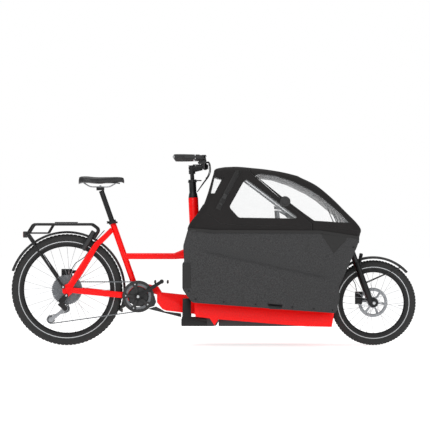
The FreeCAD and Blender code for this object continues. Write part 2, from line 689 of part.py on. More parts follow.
def canopy_shell():
    """Whole canopy skin, open below, with a recess at the back for the steering column."""
    outer = slab(CANOPY_SIDE, -330, 330).common(arch(ARCH)).common(plan(2, 600, 1200))
    inner = slab(CANOPY_INSIDE, -330, 330).common(arch(ARCH_INSIDE)).common(plan(2 + CANOPY_SKIN, 600, 1200))
    outer = outer.cut(block(-220, -58, -150, 150, 600, 1040))
    inner = inner.cut(block(-220, -58 + CANOPY_SKIN, -160, 160, 600, 1060))
    return outer.cut(inner)


def hood_region(gap):
    """Block that holds everything in front of the hood's edge."""
    edge = [(x + gap, z) for x, z in HOOD_EDGE]
    return slab(edge + [(950, 600), (950, 1110)], -330, 330)


def canopy():
    """The skin split at the hood's edge, its clear panes, and the folding bows that hold it up."""
    skin = canopy_shell()
    fixed = skin.cut(hood_region(0))
    hood = skin.common(hood_region(3))
    rear_pane = slab(REAR_WINDOW, 170, 330)
    side_panes = slab(FIXED_WINDOW, -330, 330).fuse(rear_pane).fuse(mirrored(rear_pane))
    hood_panes = slab(HOOD_WINDOW, -330, 330).cut(block(200, 900, -210, 210, 700, 1100))
    hood_panes = hood_panes.fuse(block(560, 838, -WINDSHIELD_HALF, WINDSHIELD_HALF, 760, 1010))
    save("canopy_shell", fixed.cut(side_panes))
    save("canopy_windows", fixed.common(side_panes))
    save("canopy_hood", hood.cut(hood_panes))
    save("hood_windows", hood.common(hood_panes))
    bow = straight_limb([Vector(190, 240, 1006), Vector(420, 262, 830), Vector(560, 276, 722)], [(8, 16)] * 3)
    cross = rod(Vector(196, -238, 1018), Vector(196, 238, 1018), 7)
    hubs = both(disc(BOW_HUB, 30, 288.5, 298))
    frame = bow.fuse(cross).fuse(mirrored(bow))
    save("canopy_bows", frame, *hubs)


def cargo_box():
    """Side panels, the rear wall, floor and front wall between them, and the padded child bench."""
    side = slab(SIDE_PANEL, -330, 330).common(plan(0, 150, 800)).cut(plan(PANEL, 100, 900))
    side = side.cut(slab(HAND_HOLE, -330, 330))
    save("box_sides", side)
    inside = plan(PANEL + PART_GAP, 150, 800)
    rear = block(-58, -48, -330, 330, 283, 690)
    floor = slab([(-47.7, 283), (-47.7, 273), (603.5, 222), (603.5, 232)], -330, 330)
    for notch in both(block(312, 422, 278, 310, 200, 300)):
        floor = floor.cut(notch)
    front = slab(FRONT_WALL, -330, 330).cut(block(500, 603.8, -330, 330, 200, 240))
    save("box_ends", rear.common(inside), floor.common(inside), front.common(inside))
    seat = block(-30, 290, -270, 270, 330, 400)
    back = straight_limb([Vector(17, 0, 407), Vector(-10, 0, 676)], [(540, 50), (540, 40)], 0.2)
    base = slab([(-28, 329), (-28, 284), (270, 261), (270, 329)], -240, 240)
    straps = []
    for y in (-180, -80, 80, 180):
        line = [Vector(50, y, 430), Vector(34, y, 560), Vector(21, y, 672)]
        straps.append(straight_limb(line, [(26, 3)] * 3, 0.2))
    save("child_bench", seat, back.cut(block(-60, -47, -300, 300, 300, 700)), base, *straps)


# ---- rear fittings ------------------------------------------------------------------------------
def rear_rack():
    """Side rails with lower pannier bars, legs to the dropouts, cross bars and a deck plate."""
    line = [
        Vector(-1136, 70, 672), Vector(-1096, 70, RACK_RAIL_Z), Vector(-740, 70, RACK_RAIL_Z), Vector(-697, 64, 706),
        Vector(-727, 56, 655),
    ]
    rail = bent_bar(line, 8, 22)
    leg = rod(Vector(-1132, 79, 676), Vector(-918, 98.4, 366), 7)
    foot = disc(Vector(-912, 0, 358), 11, 91.3, 105.5)
    corner = Vector(-1006, 66, 684)
    lower = rod(Vector(-1128, 66, 684), corner, 4.5).fuse(rod(corner, Vector(-976, 70, 735), 4.5))
    side = rail.fuse(leg).fuse(foot).fuse(lower)
    whole = side.fuse(mirrored(side))
    for x in (-1060, -985, -900, -820, -760):
        whole = whole.fuse(rod(Vector(x, -70, RACK_RAIL_Z), Vector(x, 70, RACK_RAIL_Z), 5))
    whole = whole.fuse(rod(Vector(-1132, -70, 679), Vector(-1132, 70, 679), 5))
    deck = block(-965, -831, -62, 62, 745.8, 751.5)
    return [whole, deck]


def mudguard(centre, inner, height, half, start, end):
    """Curved mudguard with turned-down lips, from one angle to another."""
    wall = 3.0
    outer = inner + height
    outline = [
        (inner, -half), (outer - 6, 4 - half), (outer, 14 - half),
        (outer, half - 14), (outer - 6, half - 4), (inner, half),
        (inner, half - wall), (outer - 7.5, half - 7), (outer - wall, half - 15.5),
        (outer - wall, 15.5 - half), (outer - 7.5, 7 - half), (inner, wall - half),
    ]
    ring = turned(outline, centre)
    steps = 12
    fan = [(centre.x, centre.z)]
    for i in range(steps + 1):
        point = polar(centre, outer * 1.3, start + (end - start) * i / steps)
        fan.append((point.x, point.z))
    return ring.common(slab(fan, -half - 5, half + 5))


def frame_lock():
    """Horseshoe lock round the rear tyre, clear of the seat stays and the mudguard."""
    foot = Vector(-797, 0, 583)
    top = Vector(-729, 0, 693)
    along = (top - foot).normalize()
    lock = straight_limb([foot, top], [(112, 31)] * 2, 0.4)
    lock = lock.cut(straight_limb([foot - along * 10, top - along * 42], [(76, 60)] * 2, 0.3))
    for side in (-1, 1):
        line = [
            Vector(-815, side * 72, 451), Vector(-712, side * 47, 614), Vector(-655, side * 30, 668),
            Vector(-600, side * 6, 725),
        ]
        lock = lock.cut(straight_limb(line, [(16, 42), (20, 36), (22, 34), (22, 32)]))
    lock = lock.cut(mudguard(REAR_AXLE, REAR_GUARD_RADIUS - 1, REAR_GUARD_HEIGHT + 2, 32.5, -40, 180))
    return max(lock.Solids, key=lambda solid: solid.Volume)


def lights():
    """Tail light on the rack, and a headlight on an arm from the head tube."""
    tail = block(-1160, -1138, -26, 26, 656, 694)
    arm = block(811, 860, -8, 8, HEADLIGHT_Z - 7, HEADLIGHT_Z + 5)
    arm = arm.cut(rod(head_point(340), head_point(450), HEAD_TUBE_RADIUS + 0.2))
    lamp = rod(Vector(856, 0, HEADLIGHT_Z), Vector(886, 0, HEADLIGHT_Z), 18, 19)
    return [tail, lamp.fuse(arm)]


def rear_brake():
    """Caliper on the left dropout and its hose up to the top tube."""
    mount = block(-880, -842, 56, 66, 436, 456).cut(disc(REAR_AXLE, 94, 50, 70))
    body = caliper(REAR_AXLE, (-932, 417), (-866, 464), REAR_ROTOR_Y, mount)
    stay = [Vector(-873, 85, 360), Vector(-815, 72, 451), Vector(-712, 47, 614)]
    body = body.cut(straight_limb(stay, [(14, 42), (15, 43), (19, 36)]))
    line = [
        Vector(-868, 60, 464), Vector(-846, 62, 500), Vector(-790, 74, 536), Vector(-712, 63, 652),
        Vector(-668, 44, 700),
    ]
    return [body, bent_bar(line, HOSE_RADIUS, 30)]


def rear_fittings():
    rack = rear_rack()
    save("rear_rack", *rack)
    stay = rod(Vector(-1105, 29.5, 640), Vector(-1131, 68, 676), 2.5).cut(rack[0])
    guard = mudguard(REAR_AXLE, REAR_GUARD_RADIUS, REAR_GUARD_HEIGHT, 31, -22, 161)
    save("rear_fender", guard.fuse(stay).fuse(mirrored(stay)))
    save("lights", *lights())
    save("frame_lock", frame_lock())
    save("rear_brake", *rear_brake())


# ---- front end ----------------------------------------------------------------------------------
def fork():
    """Steerer, crown, two stanchions and the steering drum above the head tube."""
    whole = rod(head_point(331, 6), head_point(359, 6), 34)
    whole = whole.fuse(rod(head_point(340, 14, -LEG_Y), head_point(340, 14, LEG_Y), 11))
    for y in (-LEG_Y, LEG_Y):
        crown_side = rod(head_point(326, LEG_FORWARD, y), head_point(348, LEG_FORWARD, y), 20)
        stanchion = rod(head_point(200, LEG_FORWARD, y), head_point(335, LEG_FORWARD, y), STANCHION_RADIUS)
        web = rod(head_point(338, 14, y), head_point(338, LEG_FORWARD, y), 10)
        whole = whole.fuse(crown_side).fuse(stanchion).fuse(web)
    whole = whole.fuse(rod(head_point(340), head_point(452), STANCHION_RADIUS))
    return whole.fuse(rod(head_point(434), head_point(446), 38))


def fork_leg(side, grown=0.0):
    """One lower leg, or the room it takes when grown."""
    y = side * LEG_Y
    return rod(head_point(-12, LEG_FORWARD, y), head_point(250, LEG_FORWARD, y), 18 + grown)


def fork_lowers():
    """Sliding legs with dropouts, the bridge over the tyre and the front axle."""
    bore_radius = STANCHION_RADIUS + RUNNING_GAP
    whole = rod(BRIDGE_POINT - ACROSS * LEG_Y, BRIDGE_POINT + ACROSS * LEG_Y, 8)
    for side in (-1, 1):
        y = side * LEG_Y
        bore = rod(head_point(120, LEG_FORWARD, y), head_point(260, LEG_FORWARD, y), bore_radius)
        low = min(side * 50, side * 70)
        leg = fork_leg(side).cut(bore).fuse(disc(FRONT_AXLE, 19, low, low + 20))
        strut_foot = head_point(232, LEG_FORWARD + 16, y)
        strut = straight_limb([strut_foot, BRIDGE_POINT + ACROSS * y], [(16, 14), (14, 14)])
        whole = whole.fuse(leg).fuse(strut.cut(fork_leg(side, -1.0)))
    return whole.cut(disc(FRONT_AXLE, AXLE_RADIUS, -80, 80)).cut(disc(FRONT_AXLE, 18, -49.8, 49.8))


def front_guard():
    """Front mudguard, hung from the fork bridge and stayed to the legs."""
    guard = mudguard(FRONT_AXLE, FRONT_GUARD_RADIUS, FRONT_GUARD_HEIGHT, 31, 42, 147)
    hanger = block(886, 905, -12, 12, 530, 545).cut(disc(FRONT_AXLE, 280, -40, 40))
    hanger = hanger.cut(rod(BRIDGE_POINT - ACROSS * 80, BRIDGE_POINT + ACROSS * 80, 8))
    stay = rod(polar(FRONT_AXLE, 274, 52, 29.5), Vector(926, 56, 380), 2.5).cut(fork_leg(1))
    return guard.fuse(hanger).fuse(stay).fuse(mirrored(stay))


def front_brake():
    """Caliper on the left leg and its hose up to the head tube."""
    mount = block(905, 940, 48, 60, 262, 286).cut(fork_leg(1, 0.2))
    body = caliper(FRONT_AXLE, (864, 250), (908, 326), FRONT_ROTOR_Y, mount)
    line = [Vector(876, 46, 326), Vector(866, 47, 372), Vector(838, 70, 425), Vector(824, 86, 482)]
    return [body, bent_bar(line, HOSE_RADIUS, 30)]


def front_end():
    save("fork", fork())
    save("fork_lowers", fork_lowers(), disc(FRONT_AXLE, AXLE_RADIUS, -84, 84))
    save("front_fender", front_guard())
    save("front_brake", *front_brake())


# ---- cockpit ------------------------------------------------------------------------------------
def left_bar_points():
    """Centre line of the left half of the handlebar, from the stem out to the grip's end."""
    return [
        BAR_CLAMP, BAR_CLAMP + ACROSS * 42, Vector(-58, 124, 1142),
        GRIP_START - GRIP_DIRECTION * 60, GRIP_START + GRIP_DIRECTION * (GRIP_LENGTH - 3),
    ]


def lever_points():
    """Pivot and tip of the left brake lever."""
    out = Vector(GRIP_DIRECTION.y, -GRIP_DIRECTION.x, 0)
    pivot = GRIP_START + out * 45 - GRIP_DIRECTION * 35
    tip = GRIP_START + out * 48 + GRIP_DIRECTION * 92
    return pivot, tip


def brake_lever():
    pivot, tip = lever_points()
    blade = straight_limb([pivot, tip], [(8, 14), (8, 13)], 0.3)
    blade = blade.fuse(rod(pivot - UP * 7, pivot + UP * 7, 8))
    return blade.cut(rod(pivot - UP * 9, pivot + UP * 9, LEVER_PIN_RADIUS + RUNNING_GAP))


def brake_perch():
    """Clamp on the bar, reservoir, two ears and the lever's pin."""
    pivot, tip = lever_points()
    start = GRIP_START - GRIP_DIRECTION * 34
    bored = rod(start - GRIP_DIRECTION * 60, start + GRIP_DIRECTION * 60, BAR_RADIUS)
    body = rod(start, start + GRIP_DIRECTION * 22, 16)
    inner_end = start + GRIP_DIRECTION * 11 + Vector(9, 18, 0)
    outer_end = pivot + Vector(16, -9, 0)
    body = body.fuse(straight_limb([inner_end, outer_end], [(18, 24), (16, 22)], 0.3))
    for low, high in ((-11, -7.3), (7.3, 11)):
        ear = block(pivot.x - 12, pivot.x + 12, pivot.y - 12, pivot.y + 12, pivot.z + low, pivot.z + high)
        body = body.fuse(ear)
    pin = rod(pivot - UP * 11, pivot + UP * 11, LEVER_PIN_RADIUS)
    room = rod(pivot - UP * 7.3, pivot + UP * 7.3, 12.5)
    body = body.fuse(pin).cut(room.cut(pin)).cut(bored)
    return max(body.Solids, key=lambda solid: solid.Volume)


def column_clamp():
    """Clamp on the frame's column tube, bored for the sliding stem, with the height lever's lug and pin."""
    clamp = rod(column_point(-118), column_point(0.5), 20)
    clamp = clamp.fuse(rod(column_point(0.4), column_point(28), 29, 24))
    clamp = clamp.fuse(rod(column_point(28), column_point(92), 22))
    clamp = clamp.fuse(rod(column_point(92), column_point(110), 28, 24))
    clamp = clamp.cut(rod(column_point(-60), column_point(112), COLUMN_SLIDE_RADIUS + RUNNING_GAP))
    clamp = clamp.cut(rod(HEIGHT_LEVER_PIN + UP * 0.2, HEIGHT_LEVER_PIN + UP * 30, 8.5))
    lug = block(-118, -106, -33, -20, 996, 1000).cut(rod(column_point(80), column_point(120), 14))
    return clamp.fuse(lug).fuse(rod(HEIGHT_LEVER_PIN - UP * 8, HEIGHT_LEVER_PIN + UP * 8, 3))


def height_lever():
    x, y, z = HEIGHT_LEVER_PIN
    lever = block(x - 6, x + 38, y - 4, y + 4, z + 0.4, z + 7)
    return lever.cut(rod(HEIGHT_LEVER_PIN - UP * 10, HEIGHT_LEVER_PIN + UP * 10, 3 + RUNNING_GAP))


def stem():
    """Sliding inner column, the arm forward to the bar clamp, and the display on its neck."""
    whole = rod(column_point(-22), column_point(146), COLUMN_SLIDE_RADIUS)
    whole = whole.fuse(rod(column_point(144), column_point(197), 20))
    whole = whole.fuse(straight_limb([column_point(172), Vector(-70, 0, 1084)], [(34, 40), (36, 34)]))
    whole = whole.fuse(disc(BAR_CLAMP, 20, -24, 24))
    whole = whole.fuse(block(-78, -62, -10, 10, 1096, 1112))
    whole = whole.fuse(straight_limb([Vector(-96, 0, 1112), Vector(-48, 0, 1120)], [(60, 12), (60, 12)]))
    return whole.cut(disc(BAR_CLAMP, BAR_RADIUS, -25, 25))


def shifter(right_bar):
    """Gear-lever housing under the right half of the bar, with the trigger's pin."""
    body = block(-90, -52, -190, -146, 1102, 1126).fuse(rod(SHIFT_PIN, SHIFT_PIN + UP * 11, 3))
    body = body.fuse(rod(Vector(-60, -176, 1120), Vector(-60, -158, 1120), 17)).cut(right_bar)
    return max(body.Solids, key=lambda solid: solid.Volume)


def bar_hoses():
    """Two hoses from the bar down to the steering column."""
    hoses = []
    for y in (-9, 9):
        route = [
            Vector(-46, 5 * y, 1112), Vector(-10, 3 * y, 1104), Vector(-6, y, 1060), Vector(-44, y, 1012),
            Vector(-99, y * 0.8, 934),
        ]
        hoses.append(bent_bar(route, 2.6, 22))
    return hoses


def cockpit():
    save("column_clamp", column_clamp())
    save("height_lever", height_lever())
    save("stem", stem())
    left_bar = bent_bar(left_bar_points(), BAR_RADIUS, 32)
    right_bar = mirrored(left_bar)
    save("handlebar", left_bar.fuse(right_bar))
    grip_end = GRIP_START + GRIP_DIRECTION * GRIP_LENGTH
    grip = rod(GRIP_START, grip_end, 17)
    grip = grip.cut(rod(GRIP_START - GRIP_DIRECTION, grip_end - GRIP_DIRECTION * 3, BAR_RADIUS))
    save("grips", *both(grip))
    bell = rod(Vector(-60, 160, 1154), Vector(-60, 160, 1165), 17, 12)
    save("controls", *both(brake_perch()), shifter(right_bar), bell)
    trigger = block(-126, -77, -175, -161, 1093, 1099)
    save("shift_trigger", trigger.cut(rod(SHIFT_PIN - UP * 12, SHIFT_PIN + UP * 12, 3 + RUNNING_GAP)))
    save("left_brake_lever", brake_lever())
    save("right_brake_lever", mirrored(brake_lever()))
    save("bar_hoses", *bar_hoses())


def frame_nodes():
    save("rear_triangle", *rear_triangle())
    top = straight_limb(
        [Vector(-560, 0, 543), Vector(-240, 0, 543), Vector(-180, 0, 556), Vector(-120, 0, 563)],
        [(34, 37), (36, 37), (40, 58), (44, 70)],
    )
    column = rod(column_point(-700), column_point(0), COLUMN_TUBE_RADIUS)
    top = top.cut(rod(seat_point(100), seat_point(480), SEAT_TUBE_RADIUS)).cut(column)
    save("top_tube", max(top.Solids, key=lambda solid: solid.Volume))
    save("down_beam", down_beam())
    save("cargo_chassis", cargo_chassis())
    save("steering_tubes", *steering_tubes())
    save("battery_box", *battery_box())
    save("kickstand", kickstand())


def main():
    os.makedirs("parts", exist_ok=True)
    frame_nodes()
    seat_assembly()
    wheels()
    drive()
    cargo_box()
    canopy()
    rear_fittings()
    front_end()
    cockpit()


main()
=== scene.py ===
"""Looks of a front-loading electric cargo bicycle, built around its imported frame. Everything is in metres."""
import bpy
import json
import math
from mathutils import Matrix, Vector, noise


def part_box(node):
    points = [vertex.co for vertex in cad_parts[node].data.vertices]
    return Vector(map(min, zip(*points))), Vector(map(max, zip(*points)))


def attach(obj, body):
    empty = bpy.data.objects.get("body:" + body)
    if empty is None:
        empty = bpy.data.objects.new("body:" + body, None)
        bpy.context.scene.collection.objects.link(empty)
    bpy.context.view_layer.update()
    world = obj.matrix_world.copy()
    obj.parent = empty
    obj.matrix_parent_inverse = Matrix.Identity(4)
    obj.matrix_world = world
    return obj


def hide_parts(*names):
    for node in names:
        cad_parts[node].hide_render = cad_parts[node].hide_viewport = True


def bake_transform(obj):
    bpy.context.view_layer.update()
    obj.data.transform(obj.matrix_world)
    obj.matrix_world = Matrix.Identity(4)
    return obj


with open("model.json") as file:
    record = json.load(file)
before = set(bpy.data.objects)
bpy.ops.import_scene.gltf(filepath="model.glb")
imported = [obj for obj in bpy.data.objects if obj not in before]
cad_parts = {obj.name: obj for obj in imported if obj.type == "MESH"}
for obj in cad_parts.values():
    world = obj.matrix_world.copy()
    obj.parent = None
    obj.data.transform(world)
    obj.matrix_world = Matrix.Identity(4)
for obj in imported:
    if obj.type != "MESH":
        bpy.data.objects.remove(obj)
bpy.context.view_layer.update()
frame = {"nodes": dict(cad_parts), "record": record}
bpy.ops.object.select_all(action="DESELECT")

MM = 0.001


# ---- places read from the frame -------------------------------------------------------------------
def middle(node):
    """The middle of a node's box."""
    low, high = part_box(node)
    return (low + high) / 2


REAR_AXLE = Vector((middle("rear_rim").x, 0, middle("rear_rim").z))
FRONT_AXLE = Vector((middle("front_rim").x, 0, middle("front_rim").z))
CRANK_AXIS = Vector((middle("chainring").x, 0, middle("chainring").z))
GUIDE_PULLEY = Vector((middle("guide_pulley").x, 0, middle("guide_pulley").z))
TENSION_PULLEY = Vector((middle("tension_pulley").x, 0, middle("tension_pulley").z))
REAR_RADIUS = REAR_AXLE.z
FRONT_RADIUS = FRONT_AXLE.z
CHAIN_Y = middle("chain").y


# ---- camera, light and floor ----------------------------------------------------------------------
def studio():
    """A level long-lens view square to the drive side, and a white cove lit from all round."""
    distance = 15.0
    view_width = 2.623
    view_height = 0.794
    sensor = 36.0
    bpy.ops.object.camera_add(location=(0.008, -distance, view_height), rotation=(math.pi / 2, 0, 0))
    camera = bpy.context.object
    camera.data.sensor_width = sensor
    camera.data.lens = sensor * distance / view_width
    camera.data.clip_end = 100
    bpy.context.scene.camera = camera

    world = bpy.data.worlds.new("white_studio")
    world.use_nodes = True
    background = world.node_tree.nodes["Background"]
    background.inputs["Color"].default_value = (1, 1, 1, 1)
    seen = add_node(world.node_tree, "ShaderNodeLightPath")
    strength = add_node(world.node_tree, "ShaderNodeMapRange",
                        {"Value": seen.outputs["Is Camera Ray"], "To Min": 0.5, "To Max": 1.0})
    world.node_tree.links.new(strength.outputs["Result"], background.inputs["Strength"])
    bpy.context.scene.world = world
    bpy.context.scene.view_settings.view_transform = "Standard"

    for name, place, size, power in (
        ("key_softbox", (-1.5, -4.5, 4.0), 3.0, 115),
        ("fill_softbox", (3.5, -4.0, 2.0), 2.5, 38),
        ("top_softbox", (0.0, 1.5, 4.5), 4.0, 60),
    ):
        bpy.ops.object.light_add(type="AREA", location=place)
        light = bpy.context.object
        light.name = name
        light.data.size = size
        light.data.energy = power
        light.rotation_euler = (Vector((0, 0, 0.5)) - Vector(place)).to_track_quat("-Z", "Y").to_euler()

    bpy.ops.mesh.primitive_plane_add(size=60, location=(0, 0, -0.0005))
    floor = bpy.context.object
    floor.name = "studio_floor"
    floor.data.materials.append(MATERIALS["floor"])


# ---- materials ------------------------------------------------------------------------------------
def linear(code):
    """An sRGB hex colour as linear red, green, blue and alpha."""
    parts = [int(code[i:i + 2], 16) / 255 for i in (1, 3, 5)]
    return tuple(p / 12.92 if p <= 0.04045 else ((p + 0.055) / 1.055) ** 2.4 for p in parts) + (1.0,)


def add_node(tree, kind, sockets=None, **settings):
    """A node with its settings; each socket is given a value or linked to another node's output."""
    made = tree.nodes.new(kind)
    for name, value in settings.items():
        setattr(made, name, value)
    for name, value in (sockets or {}).items():
        if isinstance(value, bpy.types.NodeSocket):
            tree.links.new(value, made.inputs[name])
        else:
            made.inputs[name].default_value = value
    return made


def finish(name, base, **sockets):
    """A material of one Principled shader, with its constants set on the shader's own sockets."""
    material = bpy.data.materials.new(name)
    material.use_nodes = True
    shader = material.node_tree.nodes["Principled BSDF"]
    shader.inputs["Base Color"].default_value = linear(base)
    for socket, value in sockets.items():
        shader.inputs[socket.replace("_", " ")].default_value = value
    return material


def grain(material, size_mm, dark, light, height_mm=0.0, rough=None, detail=3.0, stretch=(1, 1, 1)):
    """Uneven colour, and if asked uneven height and roughness, from one noise of the given grain size."""
    tree = material.node_tree
    shader = tree.nodes["Principled BSDF"]
    where = add_node(tree, "ShaderNodeTexCoord")
    spread = tuple(1000 / size_mm * s for s in stretch)
    scaled = add_node(tree, "ShaderNodeMapping", {"Vector": where.outputs["Object"], "Scale": spread})
    speckle = add_node(tree, "ShaderNodeTexNoise",
                       {"Vector": scaled.outputs["Vector"], "Scale": 1.0, "Detail": detail})
    ramp = add_node(tree, "ShaderNodeMix", {"Factor": speckle.outputs["Fac"]}, data_type="RGBA")
    ramp.inputs["A"].default_value = linear(dark)
    ramp.inputs["B"].default_value = linear(light)
    contrast = add_node(tree, "ShaderNodeMapRange",
                        {"Value": speckle.outputs["Fac"], "From Min": 0.35, "From Max": 0.65})
    tree.links.new(contrast.outputs["Result"], ramp.inputs["Factor"])
    tree.links.new(ramp.outputs["Result"], shader.inputs["Base Color"])
    if rough:
        spread_rough = add_node(tree, "ShaderNodeMapRange",
                                {"Value": speckle.outputs["Fac"], "To Min": rough[0], "To Max": rough[1]})
        tree.links.new(spread_rough.outputs["Result"], shader.inputs["Roughness"])
    if height_mm:
        bump = add_node(tree, "ShaderNodeBump",
                        {"Height": speckle.outputs["Fac"], "Distance": height_mm * MM, "Strength": 0.8})
        tree.links.new(bump.outputs["Normal"], shader.inputs["Normal"])
    return material


def weave(material, thread_mm, height_mm, dark, light):
    """A plain weave: two crossed waves raise the threads, and a slow noise mottles the colour."""
    tree = material.node_tree
    shader = tree.nodes["Principled BSDF"]
    where = add_node(tree, "ShaderNodeTexCoord")
    scale = 1000 / thread_mm / math.tau
    scaled = add_node(tree, "ShaderNodeMapping",
                      {"Vector": where.outputs["Object"], "Scale": (scale, scale, scale)})
    across = add_node(tree, "ShaderNodeTexWave",
                      {"Vector": scaled.outputs["Vector"], "Scale": 1.0, "Distortion": 0.6},
                      bands_direction="X")
    along = add_node(tree, "ShaderNodeTexWave",
                     {"Vector": scaled.outputs["Vector"], "Scale": 1.0, "Distortion": 0.6},
                     bands_direction="Z")
    threads = add_node(tree, "ShaderNodeMath", {0: across.outputs["Fac"], 1: along.outputs["Fac"]},
                       operation="MULTIPLY")
    slow = add_node(tree, "ShaderNodeTexNoise",
                    {"Vector": where.outputs["Object"], "Scale": 14.0, "Detail": 4.0})
    mixed = add_node(tree, "ShaderNodeMath", {0: threads.outputs["Value"], 1: slow.outputs["Fac"]},
                     operation="MULTIPLY")
    colours = add_node(tree, "ShaderNodeMix", {"Factor": mixed.outputs["Value"]}, data_type="RGBA")
    colours.inputs["A"].default_value = linear(dark)
    colours.inputs["B"].default_value = linear(light)
    tree.links.new(mixed.outputs["Value"], colours.inputs["Factor"])
    tree.links.new(colours.outputs["Result"], shader.inputs["Base Color"])
    bump = add_node(tree, "ShaderNodeBump",
                    {"Height": threads.outputs["Value"], "Distance": height_mm * MM, "Strength": 0.6})
    tree.links.new(bump.outputs["Normal"], shader.inputs["Normal"])
    return material


def make_materials():
    """Every material, by the short name that the pieces use."""
    made = {}
    # powder-coated aluminium under clear lacquer: strong red, glossy, with a faint orange peel
    paint = finish("powder_coated_aluminium_red", "#F80000", Roughness=0.36, Coat_Weight=0.08,
                   Coat_Roughness=0.1,
                   Specular_IOR_Level=0.2)
    made["paint"] = grain(paint, 9.0, "#F20000", "#FF0102", 0.02, (0.32, 0.42), 2.0)
    # anodised aluminium, bead-blasted: near black with a soft metallic sheen
    alloy = finish("anodised_aluminium_black", "#1C1C1D", Metallic=0.55, Roughness=0.38)
    made["alloy"] = grain(alloy, 1.2, "#161617", "#232324", 0.01, (0.32, 0.46))
    # glass-filled nylon, moulded: dark, matt, with a fine spark-eroded texture
    nylon = finish("moulded_nylon_black", "#1B1B1C", Roughness=0.5)
    made["nylon"] = grain(nylon, 1.0, "#151516", "#222223", 0.03, (0.45, 0.6))
    # magnesium motor and battery castings, painted: dark grey and slightly rough
    casting = finish("painted_casting_black", "#202022", Roughness=0.46)
    made["casting"] = grain(casting, 1.6, "#19191A", "#28282A", 0.05, (0.4, 0.55))
    # tyre rubber, moulded: neutral black, dusty on its high spots
    rubber = finish("moulded_tyre_rubber", "#222223", Roughness=0.72)
    made["tyre"] = grain(rubber, 3.0, "#141414", "#222222", 0.06, (0.66, 0.82))
    # reflective film vulcanised on the sidewall: pale grey, a little glossy
    band = finish("reflective_sidewall_film", "#B9BCBE", Roughness=0.3, Metallic=0.2)
    made["band"] = grain(band, 1.0, "#AEB1B3", "#C6C8CA")
    # stainless wire, drawn: bright grey
    wire = finish("drawn_stainless_wire", "#A9ABAE", Metallic=0.9, Roughness=0.3)
    made["wire"] = grain(wire, 2.0, "#9C9EA1", "#B8BABD")
    # stainless plate, ground: grey with fine scratches round the brake track
    steel = finish("ground_stainless_steel", "#8E9093", Metallic=0.95, Roughness=0.34)
    made["steel"] = grain(steel, 1.5, "#828487", "#A0A2A5", 0.01, (0.26, 0.42))
    # nickel-plated chain steel: darker grey, slightly oily
    nickel = finish("nickel_plated_steel", "#6E7073", Metallic=0.9, Roughness=0.36)
    made["nickel"] = grain(nickel, 4.0, "#5A5C5F", "#818386", 0.0, (0.28, 0.46))
    # polished aluminium, forged: light silver
    silver = finish("polished_aluminium", "#C4C6C8", Metallic=0.85, Roughness=0.28)
    made["silver"] = grain(silver, 3.0, "#B5B7BA", "#D0D2D4", 0.0, (0.22, 0.36))
    # woven-look polymer skin pressed on foam board: charcoal heather
    panel = finish("pressed_heather_board", "#343436", Roughness=0.78)
    made["panel"] = grain(panel, 4.5, "#1C1C1D", "#373738", 0.25, (0.7, 0.86), 6.0)
    # coated polyester cloth, woven: warm black; threads drawn at 1.6 mm so that they show
    cloth = finish("coated_polyester_cloth", "#1B1919", Roughness=0.8, Specular_IOR_Level=0.3)
    made["cloth"] = weave(cloth, 1.6, 0.12, "#151313", "#2C2929")
    # the same cloth bound and stitched double at hems: a shade deeper
    hem = finish("stitched_polyester_binding", "#1D1B1B", Roughness=0.66)
    made["hem"] = weave(hem, 1.2, 0.12, "#0F0E0E", "#1E1C1C")
    # soft PVC film, calendered: clear with a slight cool tint
    film = finish("calendered_clear_film", "#F4F8FA", Roughness=0.06, Alpha=0.05, Specular_IOR_Level=0.5)
    made["film"] = grain(film, 60.0, "#F0F5F8", "#FFFFFF", 0.4)
    # seat-belt webbing, woven: mid grey
    webbing = finish("woven_grey_webbing", "#6A6C6F", Roughness=0.7)
    made["webbing"] = weave(webbing, 2.0, 0.2, "#54565A", "#85878A")
    # polyester strap webbing, woven: black
    dark_webbing = finish("woven_black_webbing", "#161516", Roughness=0.75)
    made["webbing_dark"] = weave(dark_webbing, 2.0, 0.2, "#0F0E0F", "#242324")
    # smoke-tinted film at the top of the window, calendered: grey and half clear
    smoke = finish("calendered_smoke_film", "#6E6D6E", Roughness=0.3, Alpha=0.55)
    made["smoke"] = grain(smoke, 20.0, "#464546", "#6C6B6D", 0.2)
    # synthetic leather on foam, embossed: black satin
    vinyl = finish("embossed_vinyl_black", "#1B1B1C", Roughness=0.44)
    made["vinyl"] = grain(vinyl, 1.4, "#161617", "#222224", 0.08, (0.38, 0.5))
    # soft grip rubber, moulded
    grip = finish("moulded_grip_rubber", "#232324", Roughness=0.68)
    made["grip"] = grain(grip, 1.2, "#1C1C1D", "#2C2C2D", 0.05)
    # quilted bench cloth, woven: dark grey
    bench = finish("woven_bench_cloth", "#3B3C40", Roughness=0.8, Sheen_Weight=0.15)
    made["bench"] = weave(bench, 2.0, 0.15, "#2E2F32", "#4D4E53")
    # brake hose jacket, extruded: black and smooth
    hose = finish("extruded_hose_jacket", "#19191A", Roughness=0.4)
    made["hose"] = grain(hose, 2.0, "#141415", "#1F1F20")
    # clear polycarbonate lens, moulded
    lens = finish("moulded_clear_lens", "#DDE3E6", Roughness=0.08, Coat_Weight=0.5)
    made["lens"] = grain(lens, 2.5, "#C9D0D4", "#EEF2F4", 0.1)
    # red acrylic lens, moulded
    red_lens = finish("moulded_red_lens", "#A30D12", Roughness=0.12, Coat_Weight=0.6)
    made["red_lens"] = grain(red_lens, 3.0, "#8A0A0E", "#BE1216", 0.1)
    # amber reflector, moulded acrylic prisms
    amber = finish("moulded_amber_reflector", "#D9780F", Roughness=0.15, Coat_Weight=0.4)
    made["amber"] = grain(amber, 2.0, "#C46408", "#E88A1C", 0.2)
    # display glass over a dark panel, float-polished
    screen = finish("polished_display_glass", "#0E0F12", Roughness=0.08, Coat_Weight=0.5)
    made["screen"] = grain(screen, 30.0, "#0B0C0F", "#14161A")
